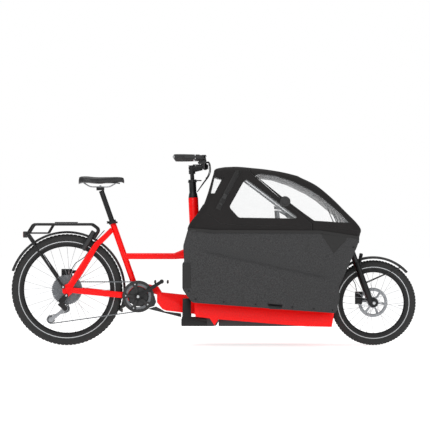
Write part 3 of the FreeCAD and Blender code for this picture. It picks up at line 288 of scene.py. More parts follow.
    # matt white studio paper
    floor = finish("matt_white_floor", "#F6F6F6", Roughness=0.9, Emission_Color=linear("#FFFFFF"),
                   Emission_Strength=0.6)
    made["floor"] = grain(floor, 40.0, "#F5F5F5", "#F8F8F8")
    return made


MATERIALS = make_materials()


# ---- modelling helpers ----------------------------------------------------------------------------
def edit():
    """Opens the active mesh in edit mode with everything selected."""
    bpy.ops.object.mode_set(mode="EDIT")
    bpy.ops.mesh.select_all(action="SELECT")


def close():
    bpy.ops.object.mode_set(mode="OBJECT")


def only(piece):
    """Makes a piece the only one selected, and active."""
    bpy.ops.object.select_all(action="DESELECT")
    piece.select_set(True)
    bpy.context.view_layer.objects.active = piece


def settle(piece):
    """Puts a piece's place, turn and size into its mesh."""
    only(piece)
    bpy.ops.object.transform_apply(location=True, rotation=True, scale=True)
    return piece


def apply(piece, kind, **settings):
    """Adds a modifier, sets it and applies it."""
    only(piece)
    modifier = piece.modifiers.new(kind.lower(), kind)
    for name, value in settings.items():
        setattr(modifier, name, value)
    bpy.ops.object.modifier_apply(modifier=modifier.name)
    return piece


def cut(piece, cutters, operation="DIFFERENCE"):
    """Cuts the cutters out of a piece, or with INTERSECT keeps what lies in them, and throws them away."""
    cutter = join(cutters)
    only(piece)
    modifier = piece.modifiers.new("cut", "BOOLEAN")
    modifier.operation = operation
    modifier.solver = "EXACT"
    modifier.object = cutter
    bpy.ops.object.modifier_apply(modifier=modifier.name)
    bpy.data.objects.remove(cutter)
    return piece


def outward(piece):
    """Merges doubles and turns every face outwards."""
    only(piece)
    edit()
    bpy.ops.mesh.remove_doubles(threshold=0.00002)
    bpy.ops.mesh.normals_make_consistent(inside=False)
    close()
    return piece


def done(piece, name, material, body, slot, angle=35.0, replaces=()):
    """Names a finished piece, gives it its material, and lets it ride on its body; the slot is not used."""
    settle(piece)
    piece.name = name
    piece.data.name = name
    if material:
        piece.data.materials.clear()
        piece.data.materials.append(MATERIALS[material])
    if angle:
        bpy.ops.object.shade_smooth_by_angle(angle=math.radians(angle))
    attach(piece, body)
    if replaces:
        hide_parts(*replaces)
    bpy.ops.object.select_all(action="DESELECT")
    return piece


def join(pieces):
    """Joins pieces into the first."""
    bpy.ops.object.select_all(action="DESELECT")
    for piece in pieces:
        piece.select_set(True)
    bpy.context.view_layer.objects.active = pieces[0]
    if len(pieces) > 1:
        bpy.ops.object.join()
    return pieces[0]


def copy_of(piece, turn=None):
    """A copy with its own mesh, moved by a matrix."""
    twin = piece.copy()
    twin.data = piece.data.copy()
    bpy.context.scene.collection.objects.link(twin)
    if turn is not None:
        twin.data.transform(turn)
        if turn.determinant() < 0:
            twin.data.flip_normals()
    return twin


def around(centre, degrees):
    """Turn about a line along Y through a point; positive rolls forwards."""
    turn = Matrix.Rotation(math.radians(degrees), 4, "Y")
    return Matrix.Translation(centre) @ turn @ Matrix.Translation(-centre)


def facing(direction):
    """The turn that lays an upright shape along a direction."""
    return direction.to_track_quat("Z", "Y").to_matrix().to_4x4()


def outline_face(points):
    """A flat face with the given corners, started from a filled circle."""
    bpy.ops.mesh.primitive_circle_add(vertices=len(points), fill_type="NGON")
    piece = bpy.context.object
    for vertex, point in zip(piece.data.vertices, points):
        vertex.co = point
    return piece


def cube(place, size):
    """A block of a size about a place, both in metres."""
    bpy.ops.mesh.primitive_cube_add(size=1, location=place, scale=size)
    return settle(bpy.context.object)


def cuboid_at(place, size, bevel=0.0):
    """A block of a size in millimetres about a place in metres."""
    piece = cube(place, [s * MM for s in size])
    if bevel:
        apply(piece, "BEVEL", width=bevel * MM, segments=2)
    return piece


def plate(points, thickness, bevel=0.0, segments=2):
    """A plate from a flat outline, extruded by a vector and with its edges rounded."""
    piece = outline_face(points)
    edit()
    bpy.ops.mesh.extrude_region_move(TRANSFORM_OT_translate={"value": thickness})
    close()
    outward(piece)
    if bevel:
        apply(piece, "BEVEL", width=bevel, segments=segments, limit_method="ANGLE",
              angle_limit=math.radians(30))
    return piece


def lathe(profile, centre, steps=96):
    """A shape turned about a line along Y from a closed profile of (radius, y) corners."""
    bpy.ops.mesh.primitive_circle_add(vertices=len(profile), fill_type="NOTHING")
    piece = bpy.context.object
    for vertex, (radius, y) in zip(piece.data.vertices, profile):
        vertex.co = (centre.x + radius, y, centre.z)
    edit()
    bpy.ops.mesh.spin(steps=steps, angle=math.tau, center=centre, axis=(0, 1, 0))
    close()
    return outward(piece)


def ring_bar(points, radius, steps=10):
    """A round bar along a smooth line through the points."""
    bpy.ops.curve.primitive_nurbs_path_add()
    bar = bpy.context.object
    curve = bar.data
    curve.splines.clear()
    spline = curve.splines.new("POLY")
    spline.points.add(len(points) - 1)
    for knot, point in zip(spline.points, points):
        knot.co = (*point, 1)
    curve.bevel_depth = radius
    curve.bevel_resolution = max(1, steps // 4)
    curve.use_fill_caps = True
    bar.location = (0, 0, 0)
    only(bar)
    bpy.ops.object.convert(target="MESH")
    return outward(bpy.context.object)


def smooth_line(points, per_span=8):
    """Points along a smooth curve that passes through every given point."""
    made = []
    last = len(points) - 1
    for i in range(last):
        a, b, c, d = (Vector(points[max(0, min(last, k))]) for k in (i - 1, i, i + 1, i + 2))
        for step in range(per_span):
            t = step / per_span
            bend = 2 * a - 5 * b + 4 * c - d
            twist = 3 * b - a - 3 * c + d
            made.append(0.5 * (2 * b + (c - a) * t + bend * t * t + twist * t ** 3))
    made.append(Vector(points[-1]))
    return made


# ---- pieces whose shape is the frame's own ---------------------------------------------------------
def refine(node, material, body, slot, edge_mm=0.8, angle=32.0):
    """A copy of a node with its flats made whole and its edges rounded, which stands for the node."""
    piece = frame["nodes"][node].copy()
    piece.data = frame["nodes"][node].data.copy()
    for key in list(piece.keys()):
        del piece[key]
    piece.parent = None
    bpy.context.scene.collection.objects.link(piece)
    only(piece)
    edit()
    bpy.ops.mesh.remove_doubles(threshold=0.00001)
    bpy.ops.mesh.dissolve_limited(angle_limit=math.radians(1.5))
    close()
    if edge_mm:
        apply(piece, "BEVEL", width=edge_mm * MM, segments=2, limit_method="ANGLE",
              angle_limit=math.radians(angle),
              use_clamp_overlap=True)
    return done(piece, node + "_finished", material, body, slot, angle=40, replaces=(node,))


BODY_OF = {node: body for body, nodes in frame["record"]["behaviour"]["bodies"].items() for node in nodes}
SLOT_OF = {part["node"]: part["material_slot"] for part in frame["record"]["subparts"]}


def refined_nodes():
    """Every node that keeps its own shape, with the width of its rounded edges in millimetres."""
    for material, edge_mm, nodes in (
        ("paint", 1.5, ("rear_triangle", "seat_tube", "top_tube", "down_beam", "cargo_chassis",
                        "steering_tubes")),
        ("casting", 2.5, ("motor", "battery_box", "frame_lock")),
        ("alloy", 1.0, ("kickstand", "seat_clamp", "seat_lever", "seatpost", "stem", "handlebar",
                        "column_clamp",
                        "height_lever", "cranks", "fork", "fork_lowers", "rear_rack", "derailleur_body",
                        "rear_brake", "front_brake", "rear_hub", "front_hub")),
        ("nylon", 1.2, ("controls", "right_brake_lever", "left_brake_lever", "shift_trigger")),
        ("steel", 0.2, ("rear_rotor", "front_rotor", "derailleur_cage")),
        ("nylon", 0.4, ("rear_fender", "front_fender")),
        ("panel", 1.0, ("box_ends",)),
    ):
        for node in nodes:
            refine(node, material, BODY_OF[node], SLOT_OF[node], edge_mm)


# ---- wheels -----------------------------------------------------------------------------------------
def copies_round(centre, count):
    """Repeats everything in the active mesh round a line along Y, by spinning duplicates in edit mode."""
    edit()
    bpy.ops.mesh.spin(steps=count - 1, dupli=True, angle=math.tau * (count - 1) / count, center=centre,
                      axis=(0, 1, 0))
    close()


def knob(centre, radius, y, length, width, height, turn):
    """One tread block standing on the tyre at the top of the wheel, turned about its own upright."""
    bpy.ops.mesh.primitive_cube_add(size=1, location=(centre.x, y, centre.z + radius),
                                    scale=(length, width, height))
    block = bpy.context.object
    block.rotation_euler = turn
    settle(block)
    return apply(block, "BEVEL", width=0.7 * MM, segments=1)


def tyre(prefix, centre, outer, bead, half, band_radius, body):
    """A road tyre: a moulded casing, three kinds of tread block, and a reflective band on each sidewall."""
    casing_top = outer - 2.6 * MM
    profile = []
    for step in range(25):
        angle = math.pi * step / 24
        across = math.cos(angle)
        rise = math.sin(angle) ** 0.8
        radius = bead + (casing_top - bead) * rise
        width = half * (0.52 + 0.48 * math.sin(angle) ** 0.5) if step not in (0, 24) else half * 0.5
        squareness = max(abs(across) ** 0.35, 0.4) if abs(across) > 0.05 else 1.0
        profile.append((radius, across * width / squareness))
    inner = [(r - 3 * MM if 0 < k < 24 else r, y * 0.86) for k, (r, y) in enumerate(profile)]
    casing = lathe(profile + inner[::-1], centre, 144)
    blocks = []
    crown = 84
    pitch = math.tau * outer / crown
    for y, length, width, turn in (
        (0.0, 0.56, 7.0, 0.0), (8.6, 0.42, 5.2, 0.5), (-8.6, 0.42, 5.2, -0.5), (15.6, 0.34, 5.4, 0.25),
        (-15.6, 0.34, 5.4, -0.25),
    ):
        lean = -y / 15.6 * 0.62
        drop = (y / 15.6) ** 2 * 5.0 * MM
        shift = pitch * (0.5 if abs(y) > 10 else 0.25 if y else 0.0)
        block = knob(centre, casing_top - drop + 0.6 * MM, y * MM, pitch * length, width * MM, 4.0 * MM,
                     (lean, 0, turn))
        block.data.transform(around(centre, math.degrees(shift / outer)))
        blocks.append(block)
    tread = join(blocks)
    copies_round(centre, crown)
    wheel_tyre = join([casing, tread])
    done(wheel_tyre, prefix + "_tyre_moulded", "tyre", body, "tyre_rubber", replaces=(prefix + "_tyre",))
    bands = []
    for side in (1, -1):
        radii = (band_radius - 2.2 * MM, band_radius + 2.2 * MM)
        low, high = [(radius, side * wall_at(profile, radius)) for radius in radii]
        proud = side * 0.5 * MM
        bands.append(lathe([low, high, (high[0], high[1] + proud), (low[0], low[1] + proud)], centre, 144))
    done(join(bands), prefix + "_tyre_reflective_bands", "band", body, "tyre_rubber")


def wall_at(profile, radius):
    """Half width of a tyre's outline at a radius, on its outer side."""
    side = [(r, y) for r, y in profile if y > 0]
    for (r0, y0), (r1, y1) in zip(side, side[1:]):
        if min(r0, r1) <= radius <= max(r0, r1) and abs(r1 - r0) > 1e-9:
            return y0 + (y1 - y0) * (radius - r0) / (r1 - r0)
    return side[0][1]


def rim(prefix, centre, bead, spokes, body):
    """A double-wall rim with bead hooks, a machined edge, spoke nipples and a valve."""
    outline = (
        (1.5, 15), (0, 15.2), (-11, 14.8), (-15, 12), (-18, 7), (-18.2, 0), (-18, -7), (-15, -12),
        (-11, -14.8),
        (0, -15.2), (1.5, -15), (1.5, -13.2), (-4, -13), (-7, -8), (-7, 8), (-4, 13), (1.5, 13.2),
    )
    hoop = lathe([(bead + reach * MM, y * MM) for reach, y in outline], centre, 144)
    done(hoop, prefix + "_rim_extruded", "alloy", body, "black_alloy", replaces=(prefix + "_rim",), angle=28)
    nipples = []
    for k in range(spokes):
        side = 1 if k % 2 else -1
        angle = math.tau * k / spokes
        bpy.ops.mesh.primitive_cone_add(vertices=6, radius1=2.2 * MM, radius2=1.7 * MM, depth=11 * MM)
        nipple = bpy.context.object
        turn = Matrix.Translation(centre) @ Matrix.Rotation(math.pi / 2 - angle, 4, "Y")
        foot = Matrix.Translation((0, side * 4 * MM, bead - 23 * MM))
        nipple.data.transform(turn @ foot @ Matrix.Rotation(math.pi, 4, "X"))
        nipples.append(nipple)
    bpy.ops.mesh.primitive_cylinder_add(vertices=10, radius=2.8 * MM, depth=34 * MM)
    valve = bpy.context.object
    valve.data.transform(around(centre, 96) @ Matrix.Translation(centre + Vector((0, 0, bead - 34 * MM))))
    done(join(nipples + [valve]), prefix + "_nipples_and_valve", "silver", body, "steel")


def spoke_set(prefix, centre, flange_y, flange_radius, rim_radius, count, cross, body):
    """Butted wire spokes, crossed on each side, with bent heads in the flanges."""
    made = []
    for k in range(count):
        side = 1 if k % 2 else -1
        lean = 1 if (k // 2) % 2 else -1
        angle = math.tau * k / count
        start_angle = angle + math.radians(lean * cross)
        start = centre + Vector((flange_radius * math.cos(start_angle), side * flange_y,
                                 flange_radius * math.sin(start_angle)))
        end = centre + Vector((rim_radius * math.cos(angle), side * 4 * MM, rim_radius * math.sin(angle)))
        line = end - start
        bpy.ops.mesh.primitive_cylinder_add(vertices=8, radius=1.15 * MM, depth=line.length)
        wire = bpy.context.object
        wire.data.transform(Matrix.Translation((start + end) / 2) @ facing(line))
        bpy.ops.mesh.primitive_uv_sphere_add(segments=8, ring_count=5, radius=2.4 * MM, location=start)
        head = bpy.context.object
        head.scale = (1, 0.6, 1)
        made += [wire, settle(head)]
    done(join(made), prefix + "_wire_spokes", "wire", body, "steel", replaces=(prefix + "_spokes",))


def wheels():
    """Both wheels; the sizes are in millimetres and the spokes' crossing in degrees."""
    for prefix, centre, radius, bead, half_width, band, flange, spokes, crossing in (
        ("rear", REAR_AXLE, REAR_RADIUS, 280, 29.5, 293, 28, 32, 44),
        ("front", FRONT_AXLE, FRONT_RADIUS, 203, 27.5, 217, 22, 28, 40),
    ):
        body = prefix + "_wheel"
        tyre(prefix, centre, radius, bead * MM, half_width * MM, band * MM, body)
        rim(prefix, centre, bead * MM, spokes, body)
        spoke_set(prefix, centre, flange * MM, 29.5 * MM, (bead - 18) * MM, spokes, crossing, body)


# ---- drive ------------------------------------------------------------------------------------------
TOOTH_PITCH = 12.7 * MM
CHAINRING_TEETH = 44
PULLEY_TEETH = 12
CASSETTE_TEETH = (46, 37, 32, 28, 24, 21, 19, 17, 15, 13, 11)
DRIVEN_TEETH = 24
CRANK_TURN = 32.5


def pitch_radius(teeth):
    """Radius of the circle that the chain's pins run on."""
    return TOOTH_PITCH / (2 * math.sin(math.pi / teeth))


def on_circle(centre, radius, degrees, y=0.0):
    """A point on a circle about a line along Y; 0 degrees is forward and 90 is up."""
    angle = math.radians(degrees)
    return Vector((centre.x + radius * math.cos(angle), y, centre.z + radius * math.sin(angle)))


def drill(centre, radius, y_low, y_high, vertices=32):
    """A round bar along Y, to cut a hole with."""
    place = (centre.x, (y_low + y_high) / 2, centre.z)
    bpy.ops.mesh.primitive_cylinder_add(vertices=vertices, radius=radius, depth=y_high - y_low,
                                        location=place,
                                        rotation=(math.pi / 2, 0, 0))
    return settle(bpy.context.object)


def sprocket(centre, teeth, y, thickness, hole):
    """A toothed plate: rollers sit in round valleys between pointed teeth."""
    radius = pitch_radius(teeth)
    points = []
    for k in range(teeth):
        for part, reach in ((-0.28, -3.4), (0.0, -4.0), (0.28, -3.4), (0.42, 0.6), (0.58, 0.6)):
            angle = 360 * (k + part) / teeth
            points.append(on_circle(centre, radius + reach * MM, angle, y - thickness / 2))
    gear = plate(points, (0, thickness, 0))
    return cut(gear, [drill(centre, hole, y - thickness, y + thickness, 48)])


def ring_of(make, centre, count, start=0.0):
    """The same small shape repeated round a line along Y."""
    first = make()
    made = [first]
    for k in range(1, count):
        made.append(copy_of(first, around(centre, 360 * k / count)))
    for piece in made:
        piece.data.transform(around(centre, start))
    return made


def bolt(place, radius, height, along=(0, -1, 0), sides=6):
    """A socket bolt head: a rounded cap with a six-sided hole."""
    axis = Vector(along).normalized()
    bpy.ops.mesh.primitive_cylinder_add(vertices=24, radius=radius, depth=height)
    cap = bpy.context.object
    cap.data.transform(Matrix.Translation((0, 0, height / 2)))
    apply(cap, "BEVEL", width=radius * 0.18, segments=2, limit_method="ANGLE")
    bpy.ops.mesh.primitive_cylinder_add(vertices=sides, radius=radius * 0.5, depth=height)
    socket = bpy.context.object
    socket.data.transform(Matrix.Translation((0, 0, height)))
    cut(cap, [socket])
    cap.data.transform(Matrix.Translation(Vector(place)) @ facing(axis))
    return cap


def cassette():
    """Eleven sprockets, the largest four lightened, on a ribbed drum with a lock ring."""
    gears = []
    for k, count in enumerate(CASSETTE_TEETH):
        y = (-36.4 - 3.9 * k) * MM
        gear = sprocket(REAR_AXLE, count, y, 1.9 * MM, 17.5 * MM)
        if k < 4:
            outer = pitch_radius(count) - 9 * MM
            inner = pitch_radius(CASSETTE_TEETH[k + 1]) + 2 * MM
            if outer - inner > 4 * MM:
                middle_radius = (outer + inner) / 2
                places = [on_circle(REAR_AXLE, middle_radius, 360 * h / 14 + 7 * k) for h in range(14)]
                holes = [drill(place, (outer - inner) / 2, y - 3 * MM, y + 3 * MM, 20) for place in places]
                cut(gear, holes)
        gears.append(gear)
    done(join(gears), "cassette_sprockets", "nickel", "cassette", "steel", replaces=("cassette",), angle=25)
    drum = lathe([(6.1 * MM, -33 * MM), (17.4 * MM, -33 * MM), (17.4 * MM, -77 * MM), (15 * MM, -78.3 * MM),
                  (6.1 * MM, -78.3 * MM)],
                 REAR_AXLE, 64)
    done(drum, "cassette_drum_and_lock_ring", "steel", "cassette", "steel")


def chainring():
    """A toothed ring with five arms' worth of cut-outs, and a bolted guard outside it."""
    ring = sprocket(CRANK_AXIS, CHAINRING_TEETH, CHAIN_Y, 2.2 * MM, 64 * MM)
    done(ring, "chainring_toothed", "nickel", "crank", "steel", replaces=("chainring",), angle=25)
    guard = lathe([(79.5 * MM, -59.4 * MM), (80.5 * MM, -56.8 * MM), (95.5 * MM, -56.8 * MM),
                   (97 * MM, -58 * MM), (96 * MM, -60.6 * MM),
                   (88 * MM, -61 * MM), (81 * MM, -60.6 * MM)], CRANK_AXIS, 96)
    arms = ring_of(lambda: plate([on_circle(CRANK_AXIS, r, a, -59.6 * MM) for r, a in
                                  ((20 * MM, 16), (56 * MM, 9), (84 * MM, 13), (84 * MM, -13), (56 * MM, -9),
                                   (20 * MM, -16))],
                                 (0, 5 * MM, 0), 1.2 * MM), CRANK_AXIS, 5, -CRANK_TURN)
    done(join([guard] + arms), "chain_guard_and_spider", "nylon", "crank", "black_alloy", angle=35)
    bolts = ring_of(lambda: bolt(on_circle(CRANK_AXIS, 76 * MM, 0, -59.4 * MM), 4.2 * MM, 2.2 * MM),
                    CRANK_AXIS, 5, -CRANK_TURN)
    crank_bolt = bolt((CRANK_AXIS.x, -75.8 * MM, CRANK_AXIS.z), 8.5 * MM, 3.0 * MM, sides=8)
    done(join(bolts + [crank_bolt]), "chainring_bolts", "silver", "crank", "steel")


def chain_points():
    """Points all round the chain's line: chainring, tension pulley, guide pulley and the driven sprocket."""
    stops = (
        (CRANK_AXIS, pitch_radius(CHAINRING_TEETH), 1),
        (TENSION_PULLEY, pitch_radius(PULLEY_TEETH), 1),
        (GUIDE_PULLEY, pitch_radius(PULLEY_TEETH), -1),
        (REAR_AXLE, pitch_radius(DRIVEN_TEETH), 1),
    )
    runs = []
    for (a, ra, sa), (b, rb, sb) in zip(stops, stops[1:] + stops[:1]):
        gap = b - a
        heading = math.atan2(gap.z, gap.x) + math.asin((sb * rb - sa * ra) / gap.xz.length)
        right = Vector((math.sin(heading), 0, -math.cos(heading)))
        runs.append((a - right * sa * ra, b - right * sb * rb))
    line = []
    for k, (leave, meet) in enumerate(runs):
        centre, radius, sense = stops[(k + 1) % len(stops)]
        next_leave = runs[(k + 1) % len(runs)][0]
        line += [leave.lerp(meet, step / 60) for step in range(60)]
        start = math.atan2(meet.z - centre.z, meet.x - centre.x)
        end = math.atan2(next_leave.z - centre.z, next_leave.x - centre.x)
        sweep = (-sense * (end - start)) % math.tau
        line += [on_circle(centre, radius,
                           math.degrees(start - sense * sweep * step / 60)) for step in range(60)]
    return line


def link(right_y, left_y):
    """Two waisted side plates at the given offsets, with a roller and its pin at the front end."""
    upper = ((-9.6, -1.9), (-8.3, -3.3), (-6.35, -3.9), (-3.6, -3.3), (0, -2.7), (3.6, -3.3), (6.35, -3.9),
             (8.3, -3.3), (9.6, -1.9), (10.2, 0))
    outline = [Vector((x * MM, 0, z * MM)) for x, z in upper + tuple((-x, -z) for x, z in upper)]
    plates = []
    for y in (right_y, left_y):
        plates.append(plate([p + Vector((0, y * MM, 0)) for p in outline], (0, 0.9 * MM, 0)))
    whole = join(plates)
    rollers = [drill(Vector((6.35 * MM, 0, 0)), radius * MM, low * MM, high * MM, 10)
               for radius, low, high in ((3.0, -0.8, 0.8), (1.6, -2.9, 2.9))]
    return join([whole] + rollers)


def chain():
    """Roller chain: inner and outer side plates in turn, with a roller at every joint."""
    line = chain_points()
    lengths = [0.0]
    for a, b in zip(line, line[1:] + line[:1]):
        lengths.append(lengths[-1] + (b - a).length)
    count = round(lengths[-1] / TOOTH_PITCH / 2) * 2
    joints = []
    where = 0
    for k in range(count):
        target = lengths[-1] * k / count
        while lengths[where + 1] < target:
            where += 1
        share = (target - lengths[where]) / (lengths[where + 1] - lengths[where])
        joints.append(line[where].lerp(line[(where + 1) % len(line)], share))
    outer = link(-2.7, 1.8)
    inner = link(-1.75, 0.85)
    links = []
    for k, joint in enumerate(joints):
        ahead = joints[(k + 1) % count]
        run = ahead - joint
        middle_point = (joint + ahead) / 2 + Vector((0, CHAIN_Y, 0))
        turn = Matrix.Translation(middle_point) @ Matrix.Rotation(-math.atan2(run.z, run.x), 4, "Y")
        links.append(copy_of(inner if k % 2 else outer, turn))
    bpy.data.objects.remove(outer)
    bpy.data.objects.remove(inner)
    whole = done(join(links), "roller_chain", "nickel", "root", "steel", replaces=("chain",), angle=30)
    whole.parent = None
    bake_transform(whole)


def pulleys():
    """The two toothed chain pulleys, each drilled and with a hub."""
    for name, centre in (("guide_pulley", GUIDE_PULLEY), ("tension_pulley", TENSION_PULLEY)):
        wheel = sprocket(centre, PULLEY_TEETH, CHAIN_Y, 2.3 * MM, 4.2 * MM)
        places = [on_circle(centre, 12 * MM, 60 * k) for k in range(6)]
        holes = [drill(place, 3.2 * MM, CHAIN_Y - 3 * MM, CHAIN_Y + 3 * MM, 16) for place in places]
        cut(wheel, holes)
        hub = lathe([(4.1 * MM, CHAIN_Y - 2.2 * MM), (7 * MM, CHAIN_Y - 2.2 * MM),
                     (7 * MM, CHAIN_Y + 2.2 * MM), (4.1 * MM, CHAIN_Y + 2.2 * MM)],
                    centre, 24)
        done(join([wheel, hub]), name + "_toothed", "nylon", name, "black_plastic", replaces=(name,),
             angle=30)


def pedals():
    """Platform pedals: a hollow body round the axle, cleated edges and an amber reflector at each end."""
    for name in ("right_pedal", "left_pedal"):
        centre = middle(name)

        def bars(places, size):
            return [cuboid_at(centre + Vector(place) * MM, size) for place in places]

        body = bars(((-38, 0, 0), (38, 0, 0)), (11, 90, 17))
        body += bars(((0, -40, 0), (0, 0, 0), (0, 40, 0)), (78, 8, 14))
        body.append(drill(centre, 9.5 * MM, centre.y - 46 * MM, centre.y + 46 * MM, 28))
        frame_bars = join(body)
        apply(frame_bars, "BEVEL", width=1.6 * MM, segments=2, limit_method="ANGLE")
        cut(frame_bars, [drill(centre, 6.6 * MM, centre.y - 60 * MM, centre.y + 60 * MM, 28)])
        pins = []
        for x in (-38, 38):
            for y in range(-36, 37, 12):
                for z in (-9.6, 9.6):
                    place = centre + Vector((x, y, z)) * MM
                    bpy.ops.mesh.primitive_cylinder_add(vertices=8, radius=2 * MM, depth=3 * MM,
                                                        location=place)
                    pins.append(bpy.context.object)
        cleats = settle(join(pins))
        done(join([frame_bars, cleats]), name + "_body", "nylon", name, "black_plastic", replaces=(name,),
             angle=30)
        lens = join(bars(((-43.7, 0, 0), (43.7, 0, 0)), (1.6, 62, 11)))
        apply(lens, "BEVEL", width=0.5 * MM, segments=1)
        done(lens, name + "_reflectors", "amber", name, "black_plastic")


def drive():
    cassette()
    chainring()
    chain()
    pulleys()
    pedals()


# ---- canopy -----------------------------------------------------------------------------------------
OUTLINE = (
    (-157, 712), (-141, 749), (-90, 812), (-65, 847), (-37, 921), (-3, 1038), (8, 1070), (50, 1082),
    (93, 1086), (160, 1086),
    (308, 1071), (406, 1056), (496, 1034), (526, 1020), (616, 974), (710, 897), (796, 812), (856, 752),
    (886, 709), (882, 683),
    (876, 661),
)
HEM = ((-157, 712), (0, 699.5), (640, 696.5), (876, 661))
SIDE_WINDOW = ((176, 993), (91, 841), (149, 776), (491, 771), (503, 785), (196, 1013))
REAR_GAP = ((6, 1034), (57, 1019), (6, 922), (-20, 922))
HOOD_WINDOW = (
    (250, 1029), (250, 1038), (282, 1043), (368, 1032), (466, 1000), (582, 944), (646, 902), (753, 812),
    (817, 747), (808, 745),
    (601, 758), (526, 812), (402, 906),
)
HOOD_EDGE = ((213, 1110), (222, 1050), (385, 905), (512, 806), (590, 742), (590, 600))
SHADE_LINE = ((262, 1036), (284, 1040), (368, 1028), (466, 996), (582, 940), (646, 898), (753, 808),
              (806, 752))
SHOULDER = 46.0
SKIN = 2.6


def dense(points, per_span=10):
    return [(p.x, p.y) for p in smooth_line([(x, z, 0) for x, z in points], per_span)]


RIM = dense(OUTLINE, 8)


def along_line(points, share):
    """The point at a share of a broken line's length."""
    lengths = [math.dist(a, b) for a, b in zip(points, points[1:])]
    left = share * sum(lengths)
    for (a, b), length in zip(zip(points, points[1:]), lengths):
        if left <= length:
            return (a[0] + (b[0] - a[0]) * left / length, a[1] + (b[1] - a[1]) * left / length)
        left -= length
    return points[-1]


def rim_distance(x, z):
    """Distance in the side view from a point to the canopy's outline."""
    best = 1e9
    for (ax, az), (bx, bz) in zip(RIM, RIM[1:]):
        dx, dz = bx - ax, bz - az
        t = max(0.0, min(1.0, ((x - ax) * dx + (z - az) * dz) / (dx * dx + dz * dz + 1e-9)))
        best = min(best, (ax + dx * t - x) ** 2 + (az + dz * t - z) ** 2)
    return math.sqrt(best)


def soft_min(a, b, blend):
    h = max(0.0, min(1.0, 0.5 + 0.5 * (b - a) / blend))
    return b + (a - b) * h - blend * h * (1 - h)


def plan_half(x):
    """Half width of the box and canopy from above: straight, then tapering to the nose."""
    return soft_min(306.0, 306.0 - (x - 470.0) * 0.157, 12.0)


def arch_half(z):
    """Half width of the canopy's arch at a height."""
    stops = ((600, 306), (700, 306), (850, 289), (1000, 266), (1058, 246), (1090, 230))
    for (z0, y0), (z1, y1) in zip(stops, stops[1:]):
        if z <= z1:
            return y0 + (y1 - y0) * max(0.0, z - z0) / (z1 - z0)
    return stops[-1][1]


def side_skin(x, z, lift=0.0, waves=True):
    """How far the canopy's skin stands from the centre plane at a point of the side view."""
    half = soft_min(plan_half(x), arch_half(z), 10.0) - 1.0
    depth = rim_distance(x, z)
    if depth < SHOULDER:
        half -= SHOULDER - math.sqrt(max(0.0, SHOULDER ** 2 - (SHOULDER - depth) ** 2))
    if waves:
        slack = min(1.0, depth / 60.0) * min(1.0, max(0.0, (z - 700.0) / 60.0))
        broad = noise.noise(Vector((x * 0.012, z * 0.03, 0.4)))
        fine = noise.noise(Vector((x * 0.03 + z * 0.02, z * 0.012, 2.0)))
        half += slack * (1.8 * broad + 1.1 * fine)
    return half + lift


def grid_skin(shape, along, across):
    """A grid whose points are put in place by shape(u, v), with u and v from 0 to 1."""
    bpy.ops.object.select_all(action="DESELECT")
    bpy.ops.mesh.primitive_grid_add(x_subdivisions=along, y_subdivisions=across, size=1)
    piece = bpy.context.object
    for vertex in piece.data.vertices:
        vertex.co = shape(vertex.co.x + 0.5, vertex.co.y + 0.5)
    return piece


def canopy_point(u, v):
    """A point of the canopy; u runs from the back to the nose, v from the right hem over to the left."""
    top = along_line(RIM, u)
    foot = along_line(HEM, u ** 0.9)
    side = -1 if v < 0.5 else 1
    share = min(v, 1 - v) * 2
    wall = 0.68
    if share < wall:
        climb = 1 - (1 - share / wall) ** 1.35
        x = foot[0] + (top[0] - foot[0]) * climb
        z = foot[1] + (top[1] - foot[1]) * climb
        y = side_skin(x, z)
        return Vector((x, side * y, z)) * MM
    reach = side_skin(*top, waves=False)
    y = reach * (1 - (share - wall) / (1 - wall))
    crown = 1 - (y / reach) ** 2
    slope = 6.0 * crown + 1.5 * noise.noise(Vector((top[0] * 0.01, y * 0.01, 5.0))) * crown
    return Vector((top[0], side * y, top[1] + slope - 5.0)) * MM


def prism(points, y_low, y_high):
    """A block with an outline in the side view, in millimetres, to cut with."""
    piece = outline_face([Vector((x, y_low, z)) * MM for x, z in points])
    edit()
    bpy.ops.mesh.extrude_region_move(TRANSFORM_OT_translate={"value": (0, (y_high - y_low) * MM, 0)})
    close()
    return outward(piece)


def cuboid(low, high):
    """A block between two corners, in millimetres."""
    low, high = Vector(low) * MM, Vector(high) * MM
    return cube((low + high) / 2, high - low)


def rounded(points, reach=9.0, steps=4):
    """An outline with each corner rounded off."""
    made = []
    count = len(points)
    for k in range(count):
        before, corner, after = (Vector(points[(k + j) % count]) for j in (-1, 0, 1))
        back = before - corner
        on = after - corner
        start = corner + back.normalized() * min(reach, back.length * 0.4)
        end = corner + on.normalized() * min(reach, on.length * 0.4)
        for step in range(steps + 1):
            t = step / steps
            point = start * (1 - t) ** 2 + corner * 2 * t * (1 - t) + end * t * t
            made.append((point.x, point.y))
    return made


def window_blocks(kinds):
    """Cutters for the windows of the fixed part ("side") and of the hood ("hood")."""
    made = []
    for side in (-1, 1):
        low, high = sorted((side * 150, side * 340))
        if "side" in kinds:
            made.append(prism(rounded(SIDE_WINDOW, 16), low, high))
            made.append(prism(rounded(REAR_GAP, 5), low, high))
        if "hood" in kinds:
            low, high = sorted((side * 205, side * 340))
            made.append(prism(rounded(HOOD_WINDOW, 7), low, high))
    if "hood" in kinds:
        made.append(cuboid((560, -188, 762), (842, 188, 1010)))
    return made


def hood_block(gap):
    return prism([(x + gap, z) for x, z in HOOD_EDGE] + [(950, 600), (950, 1110)], -340, 340)


